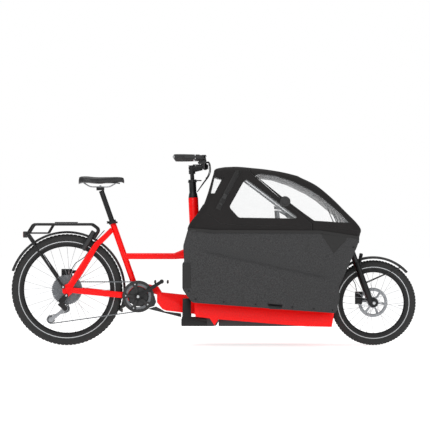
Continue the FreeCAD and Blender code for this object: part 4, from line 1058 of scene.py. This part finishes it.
def on_skin(points, side, lift, closed=False):
    """Points in the side view laid on the canopy's skin, spaced closely enough to follow it."""
    line = list(points) + ([points[0]] if closed else [])
    made = []
    for a, b in zip(line, line[1:]):
        steps = max(1, int(math.dist(a, b) / 12))
        for step in range(steps):
            x = a[0] + (b[0] - a[0]) * step / steps
            z = a[1] + (b[1] - a[1]) * step / steps
            made.append(Vector((x, side * side_skin(x, z, lift), z)) * MM)
    if not closed:
        x, z = line[-1]
        made.append(Vector((x, side * side_skin(x, z, lift), z)) * MM)
    return made


def piping(points, radius, lift=0.0, closed=False):
    """A corded edge sewn to both sides of the canopy along a line of the side view."""
    made = []
    for side in (-1, 1):
        line = on_skin(points, side, lift, closed)
        if closed:
            line.append(line[0])
        made.append(ring_bar(line, radius * MM, 8))
    return made


def ribbon(line, across, place):
    """A grid laid along a line; place(point, run, v) gives its points, run being the line's direction."""
    last = len(line) - 1

    def shape(u, v):
        k = min(last, round(u * last))
        return place(line[k], line[min(last, k + 1)] - line[max(0, k - 1)], v)

    return grid_skin(shape, last, across)


def band_corner(v):
    """A share of the way round a flat band's section, as (across, out) from its middle and its lower face."""
    return ((-1, 0), (1, 0), (1, 1), (-1, 1), (-1, 0))[round(v * 4)]


def strip(points, width, thickness, lift=0.6):
    """A flat band sewn to both sides of the canopy along a line of the side view."""
    made = []
    for side in (-1, 1):
        def place(point, run, v):
            square = Vector((-run.z, 0, run.x)).normalized() * width * MM / 2
            across, out = band_corner(v)
            return point + square * across + Vector((0, side * out * thickness * MM, 0))

        band = ribbon(on_skin(points, side, lift), 4, place)
        only(band)
        edit()
        bpy.ops.mesh.remove_doubles(threshold=0.00001)
        bpy.ops.mesh.fill_holes(sides=6)
        bpy.ops.mesh.normals_make_consistent(inside=False)
        close()
        made.append(band)
    return made


def canopy_skin():
    """The sewn cover: one curved cloth, cut for its windows and parted along the hood's edge."""
    base = grid_skin(canopy_point, 170, 76)
    outward(base)
    film = copy_of(base)
    apply(base, "SOLIDIFY", thickness=SKIN * MM, offset=-1)
    apply(film, "SOLIDIFY", thickness=0.8 * MM, offset=-1)
    film.data.transform(Matrix.Diagonal((1, 0.9965, 1, 1)))
    cut(base, [cuboid((-220, -150, 600), (-60, 150, 1040))])
    cut(base, window_blocks(("side", "hood")))
    hood = copy_of(base)
    cut(base, [hood_block(0)])
    cut(hood, [hood_block(3)], "INTERSECT")
    side_film = copy_of(film)
    cut(side_film, window_blocks(("side",)), "INTERSECT")
    cut(film, window_blocks(("hood",)), "INTERSECT")
    cut(film, [hood_block(3)], "INTERSECT")
    return base, hood, side_film, film


def recess_wall():
    """The cloth wall round the steering column, tucked in between the canopy's rear wings."""
    def shape(u, v):
        z = 700 + (858 - 700) * v
        y = -150 + 300 * u
        edge = along_line(((-157, 712), (-90, 812), (-65, 847), (-37, 921), (-3, 1038)),
                          min(1.0, max(0.0, (z - 712) / 326)))
        deep = -58
        if u < 0.12 or u > 0.88:
            share = (0.12 - u) / 0.12 if u < 0.12 else (u - 0.88) / 0.12
            x = deep + (min(deep, edge[0] + 2) - deep) * share
            y = -150 if u < 0.12 else 150
        else:
            x = deep + 2.5 * math.sin(y * 0.05) * math.sin(z * 0.02)
            y = -150 + 300 * (u - 0.12) / 0.76
        return Vector((x, y, z)) * MM

    wall = grid_skin(shape, 60, 44)
    apply(wall, "SOLIDIFY", thickness=2 * MM, offset=0)
    return outward(wall)


def gathered_flap():
    """The rear blind, gathered by elastic under the roof's back edge on both sides."""
    made = []
    for side in (-1, 1):
        def shape(u, v):
            x = -1 + 62 * u
            top = 1040 - 15 * u
            hang = 12 + 8 * abs(math.sin(u * 19)) * v
            z = top - hang * v
            y = side_skin(x, z, 0.8 + 2.4 * math.sin(u * 38) * v, waves=False)
            return Vector((x, side * y, z)) * MM

        flap = grid_skin(shape, 60, 6)
        apply(flap, "SOLIDIFY", thickness=1.2 * MM, offset=0)
        made.append(outward(flap))
    return made


def hub_knob(side):
    """The round hub that the bows turn on: a ribbed knob with a dished cap."""
    centre = Vector((427, 0, 874)) * MM
    skin = side_skin(427, 874)
    def out(value):
        return side * (skin + value) * MM
    knob = lathe([(0.5 * MM, out(-6)), (31 * MM, out(-6)), (32 * MM, out(0)), (32 * MM, out(5)),
                  (29 * MM, out(8.5)), (20 * MM, out(9.5)),
                  (17 * MM, out(7)), (0.5 * MM, out(6.4))], centre, 64)
    ribs = ring_of(lambda: cuboid_at(centre + Vector((31.6 * MM, out(2.4), 0)), (2.4, 6, 3)), centre, 30)
    return join([knob] + ribs)


def bows():
    """Bent aluminium bows inside the cloth, with a cross bow, and their hubs."""
    made = []
    for side in (-1, 1):
        line = [(190, 240, 1003), (300, 250, 921), (420, 262, 829), (500, 269, 768), (560, 276, 722)]
        made.append(ring_bar(smooth_line([Vector((x, side * y, z)) * MM for x, y, z in line]), 7.5 * MM, 16))
    made.append(ring_bar([Vector((196, y, 1016)) * MM for y in (-238, 0, 238)], 7 * MM, 16))
    done(join(made), "canopy_bow_tubes", "silver", "root", "black_alloy", replaces=("canopy_bows",), angle=50)
    done(join([hub_knob(-1), hub_knob(1)]), "canopy_hub_knobs", "nylon", "root", "black_plastic", angle=35)


def canopy():
    """The cover, the hood and their clear films, then everything sewn or fitted to them."""
    shell, hood, side_film, hood_film = canopy_skin()
    fixed = done(join([shell, recess_wall()] + gathered_flap()), "canopy_cover", "cloth", "root",
                 "canopy_fabric",
                 replaces=("canopy_shell",), angle=45)
    opening = done(hood, "canopy_front_hood", "cloth", "hood", "canopy_fabric", replaces=("canopy_hood",),
                   angle=45)
    done(side_film, "canopy_side_films", "film", "root", "clear_film", replaces=("canopy_windows",), angle=45)
    done(hood_film, "canopy_hood_films", "film", "hood", "clear_film", replaces=("hood_windows",), angle=45)
    canopy_bindings()
    canopy_straps()
    hood_shade()
    window_furniture()
    bows()


def canopy_bindings():
    """Corded edges round the windows and hems, and stitched seams, on the fixed part and on the hood."""
    fixed_edges = piping(rounded(SIDE_WINDOW, 16), 2.4, 0.4, True)
    fixed_edges += piping(rounded(REAR_GAP, 5), 1.8, 0.4, True)
    fixed_edges += piping([(-150, 713), (0, 702), (586, 699)], 2.6, 0.6)
    fixed_edges += piping([(213, 1066), (222, 1047), (385, 902), (508, 806), (586, 741), (586, 702)], 2.4,
                          0.3)
    fixed_edges += strip([(150, 1062), (108, 985), (62, 898), (26, 828)], 30, 1.2)
    fixed_edges += piping([(134, 1064), (92, 985), (46, 898), (10, 828)], 1.6, 0.8)
    fixed_edges += piping([(166, 1060), (124, 985), (78, 898), (42, 828)], 1.6, 0.8)
    fixed_edges += piping([(-36, 800), (40, 745), (170, 731), (560, 728)], 1.2, 0.2)
    done(join(fixed_edges), "canopy_bindings", "hem", "root", "canopy_fabric", angle=50)
    hood_edges = piping(rounded(HOOD_WINDOW, 7), 2.4, 0.4, True)
    hood_edges += piping([(592, 696), (640, 694), (872, 664)], 2.6, 0.6)
    hood_edges += piping([(600, 728), (700, 724), (868, 700)], 1.2, 0.2)
    done(join(hood_edges), "hood_bindings", "hem", "hood", "canopy_fabric", angle=50)


def canopy_straps():
    """The roll-up strap on each side, with its buckles."""
    tapes = strip([(147, 1048), (110, 985), (66, 900), (34, 836)], 12, 2.2, 1.6)
    done(join(tapes), "canopy_strap_webbing", "webbing_dark", "root", "canopy_fabric", angle=40)
    buckles = []
    for side in (-1, 1):
        for x, z, size in ((66, 906, (24, 7, 30)), (44, 860, (20, 6, 12)), (-122, 700, (30, 8, 12))):
            skin = side_skin(x, z, 4.4) if z > 710 else 309.0
            buckle = cuboid_at(Vector((0, 0, 0)), size, 2.0)
            turn = Matrix.Rotation(math.radians(28 if z > 710 else -6), 4, "Y")
            buckle.data.transform(Matrix.Translation(Vector((x, side * skin, z)) * MM) @ turn)
            buckles.append(buckle)
    done(join(buckles), "canopy_buckles", "nylon", "root", "black_plastic", angle=35)


def hood_shade():
    """Smoke-tinted bands along the top of the hood's side windows."""
    shade = []
    for side in (-1, 1):
        def drop(point, run, v):
            return point + Vector((run.z, 0, -run.x)).normalized() * 22 * MM * v

        band = ribbon(on_skin(SHADE_LINE, side, -5), 3, drop)
        apply(band, "SOLIDIFY", thickness=0.8 * MM, offset=0)
        shade.append(outward(band))
    done(join(shade), "hood_window_shade_bands", "smoke", "hood", "canopy_fabric", angle=45)


def window_furniture():
    """Straps that show through the side windows, and the windscreen's struts."""
    gussets = []
    for side in (-1, 1):
        y = 252 * side
        for points in (((372, 850), (404, 838), (410, 826), (376, 830)),
                       ((378, 826), (498, 786), (494, 774), (470, 774)),
                       ((376, 822), (392, 820), (398, 772), (380, 772)),
                       ((420, 812), (440, 808), (476, 776), (456, 775))):
            low, high = sorted((y, y + side * 2))
            gussets.append(prism(points, low, high))
    done(join(gussets), "canopy_inner_straps", "webbing", "root", "canopy_fabric", angle=35)
    struts = []
    for side in (-1, 1):
        for line in (((704, 196, 836), (722, 197, 790), (741, 198, 748)),
                     ((744, 186, 806), (756, 187, 776), (768, 188, 747))):
            struts.append(ring_bar([Vector((x, side * y, z)) * MM for x, y, z in line], 3.2 * MM, 12))
    done(join(struts), "hood_windscreen_struts", "alloy", "hood", "black_alloy", angle=45)


# ---- cargo box --------------------------------------------------------------------------------------
SIDE_PANEL = (
    (-157, 314), (-124, 274), (729, 210), (751, 300), (745, 361), (856, 604), (873, 655), (640, 690),
    (0, 693), (-150, 706),
    (-178, 609), (-176, 575), (-172, 512), (-183, 505), (-183, 353),
)
HAND_HOLE = ((319, 267), (415, 259), (404, 231), (332, 234))
CREASE = ((-44, 565), (657, 413))


def ease(value, low, high):
    t = max(0.0, min(1.0, (value - low) / (high - low)))
    return t * t * (3 - 2 * t)


def box_face(x, z):
    """How far the box's outer face stands from the centre plane; a folded ledge crosses the flat side."""
    (ax, az), (bx, bz) = CREASE
    run = math.hypot(bx - ax, bz - az)
    above = ((z - az) * (bx - ax) - (x - ax) * (bz - az)) / run
    step = 11.0 * ease(above, 0, 13) - 8.0 * ease(above, 30, 200)
    return plan_half(x) + 2.0 - step * ease(x, -90, -20) * (1 - ease(x, 640, 720))


def box_side(side):
    """One side panel: a foam board skinned on both faces, cut out for the hand hole."""
    def shape(u, v):
        x = -190 + 1070 * u
        z = 204 + 508 * v
        return Vector((x, side * box_face(x, z), z)) * MM

    panel = grid_skin(shape, 107, 72)
    only(panel)
    edit()
    bpy.ops.mesh.normals_make_consistent(inside=False)
    close()
    outwards = sum(p.normal.y for p in panel.data.polygons) * side > 0
    apply(panel, "SOLIDIFY", thickness=10 * MM, offset=-1 if outwards else 1)
    outward(panel)
    cut(panel, [prism(rounded(SIDE_PANEL, 10), -340, 340)], "INTERSECT")
    return cut(panel, [prism(rounded(HAND_HOLE, 6), -340, 340)])


def on_box(points, side, lift):
    """A closed line in the side view laid on the box's outer face, spaced closely enough to follow it."""
    line = list(points) + [points[0]]
    made = []
    for a, b in zip(line, line[1:]):
        steps = max(1, int(math.dist(a, b) / 25))
        for step in range(steps):
            x = a[0] + (b[0] - a[0]) * step / steps
            z = a[1] + (b[1] - a[1]) * step / steps
            made.append(Vector((x, side * (box_face(x, z) + lift), z)) * MM)
    x, z = line[-1]
    made.append(Vector((x, side * (box_face(x, z) + lift), z)) * MM)
    return made


def patch(points, thickness, lift):
    """A flat piece laid on both sides of the box."""
    made = []
    for side in (-1, 1):
        flat = [Vector((x, side * (box_face(x, z) + lift), z)) * MM for x, z in points]
        made.append(plate(flat, (0, side * thickness * MM, 0), 0.5 * MM, 1))
    return made


def hem_band():
    """The canopy's lower hem, lapped over the top of the box all round the sides."""
    made = []
    for side in (-1, 1):
        def shape(u, v):
            x = -155 + (874 + 155) * u
            top = along_line(HEM, u)[1] + 5
            z = top - 17 * v
            return Vector((x, side * (plan_half(x) + 3.6 - 1.5 * (1 - v)), z)) * MM

        band = grid_skin(shape, 80, 2)
        apply(band, "SOLIDIFY", thickness=1.6 * MM, offset=0)
        made.append(outward(band))
    return made


def cargo_box():
    """The side panels with their edge trim, patches, hem band and bolts."""
    done(join([box_side(-1), box_side(1)]), "box_side_panels", "panel", "root", "box_panel",
         replaces=("box_sides",), angle=50)
    trims = []
    for side in (-1, 1):
        trims.append(ring_bar(on_box(rounded(SIDE_PANEL, 12), side, -4.2), 4.6 * MM, 12))
        trims.append(ring_bar(on_box(rounded(HAND_HOLE, 6), side, -1.0), 2.4 * MM, 10))
    done(join(trims), "box_edge_trim", "nylon", "root", "box_panel", angle=50)
    patches = patch(((642, 683), (719, 563), (792, 640), (800, 664)), 1.6, 0.4)
    patches += patch(((-181, 503), (-140, 509), (-137, 360), (-181, 356)), 2.4, 0.4)
    done(join(patches), "box_patches", "hem", "root", "box_panel", angle=35)
    done(join(hem_band()), "canopy_hem_band", "hem", "root", "canopy_fabric", angle=50)
    bolts = []
    for x, z in ((-150, 340), (-108, 290), (60, 274), (250, 260), (470, 243), (600, 233), (712, 224),
                 (838, 600)):
        for side in (-1, 1):
            bolts.append(bolt(Vector((x, side * (box_face(x, z) + 0.2), z)) * MM, 5.5 * MM, 2.4 * MM,
                              (0, side, 0)))
    done(join(bolts), "box_side_bolts", "alloy", "root", "black_alloy", angle=35)


# ---- bench ------------------------------------------------------------------------------------------
def cushion(low, high, turn=None):
    """A sewn cushion: a rounded block whose cover is blown out by its filling."""
    pad = cuboid(low, high)
    apply(pad, "BEVEL", width=16 * MM, segments=3)
    apply(pad, "REMESH", mode="VOXEL", voxel_size=9 * MM)
    before = [v.co.copy() for v in pad.data.vertices]
    only(pad)
    cloth = pad.modifiers.new("filling", "CLOTH")
    cloth.settings.quality = 4
    cloth.settings.mass = 0.3
    cloth.settings.use_pressure = True
    cloth.settings.uniform_pressure_force = 4
    cloth.settings.effector_weights.gravity = 0
    cloth.point_cache.frame_end = 20
    for step in range(1, 21):
        bpy.context.scene.frame_set(step)
    bpy.ops.object.modifier_apply(modifier=cloth.name)
    bpy.context.scene.frame_set(1)
    for vertex, start in zip(pad.data.vertices, before):
        moved = vertex.co - start
        if moved.length > 9 * MM:
            vertex.co = start + moved.normalized() * 9 * MM
    apply(pad, "SUBSURF", levels=1, render_levels=1)
    if turn is not None:
        pad.data.transform(turn)
    return outward(pad)


def bench():
    """A two-place bench: seat and back cushions on a plinth, with two five-point harnesses."""
    seats = [cushion((-22, y, 336), (284, y + 252, 394)) for y in (-258, 6)]
    lean = around(Vector((16, 0, 412)) * MM, -5.7)
    backs = [cushion((-8, y, 414), (30, y + 252, 668), lean) for y in (-258, 6)]
    pads = done(join(seats + backs), "bench_cushions", "bench", "root", "bench_fabric",
                replaces=("child_bench",), angle=70)
    base = prism([(-28, 332), (-28, 286), (270, 263), (270, 332)], -240, 240)
    apply(base, "BEVEL", width=3 * MM, segments=2)
    done(base, "bench_plinth", "panel", "root", "box_panel", angle=35)
    straps = []
    tongues = []
    for y in (-180, -80, 80, 180):
        stops = ((40, y * 0.99, 668), (50, y, 600), (58, y * 0.98, 500), (66, y * 0.9, 430),
                 (100, y * 0.86, 404))

        def place(point, run, v):
            across, out = band_corner(v)
            run = run.normalized()
            face = Vector((-run.z, 0, run.x))
            if face.x < 0:
                face = -face
            return point + Vector((0, across * 13 * MM, 0)) + face * out * 1.8 * MM

        band = ribbon(smooth_line([Vector(p) * MM for p in stops], 5), 4, place)
        outward(band)
        only(band)
        edit()
        bpy.ops.mesh.fill_holes(sides=6)
        close()
        straps.append(band)
        tongues.append(cuboid_at(Vector((64, y * 0.97, 520)) * MM, (8, 30, 40), 2.5))
    for y in (-130, 130):
        tongues.append(cuboid_at(Vector((90, y, 414)) * MM, (44, 44, 14), 5))
    done(join(straps), "harness_straps", "webbing", "root", "bench_fabric", angle=40)
    done(join(tongues), "harness_buckles", "nylon", "root", "black_plastic", angle=35)


# ---- saddle and cockpit -----------------------------------------------------------------------------
def saddle():
    """A padded saddle on a shell and rails: broad back, narrow nose, shallow channel and sewn side seams."""
    stations = smooth_line([Vector(p) for p in ((-824, 40, 1022), (-806, 66, 1029), (-770, 78, 1030),
                                                (-728, 74, 1026), (-690, 54, 1025),
                                                (-650, 36, 1026), (-600, 24, 1026), (-562, 19, 1024),
                                                (-545, 13, 1017))], 6)

    def station(u):
        reach = u * (len(stations) - 1)
        k = min(len(stations) - 2, int(reach))
        return stations[k].lerp(stations[k + 1], reach - k)

    def top_shape(u, v):
        here = station(u)
        if u < 0.001 or u > 0.999:
            return Vector((here.x, 0, here.z - 14)) * MM
        close_in = min(1.0, math.sqrt(u / 0.05), math.sqrt((1 - u) / 0.05))
        angle = math.tau * v
        across = math.cos(angle)
        rise = math.sin(angle)
        half = here.y * max(close_in, 0.02)
        depth = 34 - 10 * ease(here.x, -700, -560)
        y = half * math.copysign(abs(across) ** 0.75, across)
        if rise >= 0:
            z = here.z - depth + depth * rise ** 0.62 * max(close_in, 0.3)
            z -= 3.5 * math.exp(-(y / 9) ** 2) * (1 - ease(here.x, -640, -600)) * rise
        else:
            z = here.z - depth + 7 * rise
            y *= 0.97
        return Vector((here.x, y, z)) * MM

    top = outward(grid_skin(top_shape, 90, 72))
    apply(top, "SUBSURF", levels=1, render_levels=1)
    padding = done(top, "saddle_padded_top", "vinyl", "seat", "saddle_cover", replaces=("saddle",), angle=60)
    seams = []
    for side in (-1, 1):
        for share in (0.06, 0.17):
            line = [top_shape(u / 60, share if side > 0 else 0.5 - share) for u in range(3, 58)]
            seams.append(ring_bar(line, 0.9 * MM, 6))
    done(join(seams), "saddle_seams", "hem", "seat", "saddle_cover", angle=50)

    def shell_shape(u, v):
        here = station(u * 0.86 + 0.06)
        return Vector((-812 + 240 * u, (v - 0.5) * 1.72 * here.y, here.z - 38 + 6 * abs(2 * v - 1) ** 3)) * MM

    shell = grid_skin(shell_shape, 40, 16)
    apply(shell, "SOLIDIFY", thickness=2.5 * MM, offset=0)
    done(outward(shell), "saddle_shell", "nylon", "seat", "black_plastic", angle=50)
    rails = []
    for side in (-1, 1):
        line = smooth_line([Vector((x, side * y, z)) * MM for x, y, z in (
            (-792, 32, 990), (-770, 29, 976), (-745, 24, 966), (-690, 22, 965.5), (-640, 22, 966),
            (-610, 16, 980), (-588, 10, 992))], 6)
        rails.append(ring_bar(line, 3.6 * MM, 12))
    for y in (-1, 1):
        rails.append(bolt(Vector((-691, 22 * y, 969)) * MM, 5 * MM, 6 * MM, (0, 0, 1)))
    done(join(rails), "saddle_rails", "steel", "seat", "steel", angle=50)


def grips():
    """Ergonomic grips: ribbed rubber with a palm wing, a clamp ring and an end cap."""
    rubber = []
    rings = []
    caps = []
    for side in (-1, 1):
        start = Vector((-117, side * 237, 1142)) * MM
        along = Vector((-0.887, side * 0.462, 0)).normalized()
        back = Vector((-along.y, along.x, 0)) * side
        length = 137 * MM

        def shape(u, v):
            angle = math.tau * v
            ribs = 0.55 * math.sin(u * math.tau * 24) if 0.08 < u < 0.92 else 0.0
            wing = 7.0 * max(0.0, math.cos(angle)) ** 3 * ease(u, 0.25, 0.8)
            end = min(1.0, math.sqrt(max(0.0, (1 - u) / 0.04)) * 0.6 + 0.4)
            radius = (15.4 + 0.9 * math.sin(u * math.pi) + ribs) * MM * end
            flat = 0.9 if abs(math.cos(angle)) > 0.6 else 1.0
            rise = Vector((0, 0, 1)) * math.sin(angle) * radius * flat
            out = back * (math.cos(angle) * radius + wing * MM) + rise
            return start + along * u * length + out

        tube = grid_skin(shape, 150, 36)
        outward(tube)
        only(tube)
        edit()
        bpy.ops.mesh.fill_holes(sides=0)
        close()
        rubber.append(outward(tube))
        rings.append(ring_bar([start - along * 4 * MM, start + along * 3 * MM], 16.6 * MM, 32))
        caps.append(ring_bar([start + along * (length - 1 * MM), start + along * (length + 2.2 * MM)], 9 * MM,
                             24))
    done(join(rubber), "grips_ribbed", "grip", "bar", "grip_rubber", replaces=("grips",), angle=60)
    done(join(rings + caps), "grip_clamp_rings", "silver", "bar", "black_alloy", angle=40)


def hoses():
    """Four hoses and cables looped in front of the stem into the column, held by a clip."""
    made = []
    for lead, gap in ((44, 0.0), (-44, 0.0), (30, 6.0), (-30, 6.0)):
        side = 1 if lead > 0 else -1
        line = smooth_line([Vector((x, y, z)) * MM for x, y, z in (
            (-48, lead, 1113), (-32, lead * 0.8, 1117 - gap), (-21 - gap, lead * 0.5, 1098),
            (-20 - gap, lead * 0.28, 1058 + gap),
            (-33 - gap, side * 7, 1026), (-64 - gap * 0.6, side * 5.5, 984), (-101, side * 5, 934))], 8)
        made.append(ring_bar(line, 2.8 * MM, 12))
    loops = done(join(made), "bar_hose_bundle", "hose", "bar", "black_plastic", replaces=("bar_hoses",),
                 angle=60)
    clip = cuboid_at(Vector((-42, 0, 1020)) * MM, (14, 24, 8), 2)
    done(clip, "hose_clip", "nylon", "bar", "black_plastic", angle=35)
    for piece in (loops, clip):
        piece.parent = None
        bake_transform(piece)


def display():
    """The drive's display on the stem: a glass face in a moulded frame, and the stem's bolts."""
    glass = cuboid_at(Vector((0, 0, 0)), (38, 50, 1.6), 0.6)
    tilt = Matrix.Rotation(math.radians(-9.5), 4, "Y")
    glass.data.transform(Matrix.Translation(Vector((-71, 0, 1123)) * MM) @ tilt)
    done(glass, "display_glass", "screen", "bar", "black_plastic", angle=35)
    bolts = []
    for z in (1068, 1088):
        for y in (-9, 9):
            bolts.append(bolt(Vector((-148.5 - (z - 1068) * 0.047, y, z)) * MM, 3.6 * MM, 5 * MM, (-1, 0, 0)))
    for y in (-17, 17):
        for z in (1076, 1100):
            bolts.append(bolt(Vector((-34.5, y, z)) * MM, 3.4 * MM, 3.4 * MM, (1, 0, 0)))
    done(join(bolts), "stem_bolts", "silver", "bar", "steel", angle=35)


# ---- lights and small fittings ----------------------------------------------------------------------
def lamps():
    """The headlight and tail light bodies with their lenses."""
    refine("lights", "nylon", "root", "black_plastic", 1.5)
    bpy.ops.mesh.primitive_cylinder_add(vertices=48, radius=16.2 * MM, depth=2.4 * MM,
                                        location=Vector((886.4, 0, 641)) * MM,
                                        rotation=(0, math.pi / 2, 0))
    lens = settle(bpy.context.object)
    apply(lens, "BEVEL", width=0.8 * MM, segments=2, limit_method="ANGLE")
    done(lens, "headlight_lens", "lens", "root", "black_plastic", angle=35)
    red = cuboid_at(Vector((-1160.4, 0, 675)) * MM, (3, 46, 30), 1.2)
    done(red, "tail_light_lens", "red_lens", "root", "black_plastic", angle=35)


def frame_details():
    """Weld beads at the seat tube's foot and the column's foot, and the bolts and axle caps."""
    foot = Vector((-459, 0, 298.6))
    upward = Vector((-163, 0, 463.4)).normalized()
    forward = Vector((upward.z, 0, -upward.x))
    column_up = Vector((-0.047, 0, 0.9989)).normalized()
    beads = []
    for centre, axis, radius in ((foot + upward * 76, upward, 18.6),
                                 (Vector((-95.6, 0, 273)), column_up, 30.2)):
        bpy.ops.mesh.primitive_torus_add(major_radius=radius * MM, minor_radius=2.0 * MM, major_segments=64,
                                         minor_segments=10)
        ring = bpy.context.object
        ring.data.transform(Matrix.Translation(centre * MM) @ facing(axis))
        beads.append(ring)
    done(join(beads), "frame_weld_beads", "paint", "root", "frame_paint", angle=60)
    bolts = []
    caps = []
    for distance in (150, 214):
        place = foot + upward * distance + forward * 18.2
        bolts.append(bolt(place * MM, 4.4 * MM, 2.6 * MM, forward))
    for side in (-1, 1):
        bolts.append(bolt(Vector((-912, side * 105.3, 358)) * MM, 6 * MM, 3 * MM, (0, side, 0)))
        caps.append(bolt(Vector((973, side * 83.6, 259.5)) * MM, 9 * MM, 3 * MM, (0, side, 0)))
    bolts.append(bolt(Vector((-893, -102.8, 306)) * MM, 6 * MM, 2.5 * MM, (0, -1, 0)))
    done(join(bolts), "frame_bolts", "silver", "root", "steel", angle=35)
    done(join(caps), "front_axle_caps", "silver", "lowers", "steel", angle=35)


def build():
    studio()
    canopy()
    cargo_box()
    bench()
    wheels()
    drive()
    saddle()
    grips()
    hoses()
    display()
    lamps()
    frame_details()
    refined_nodes()


build()
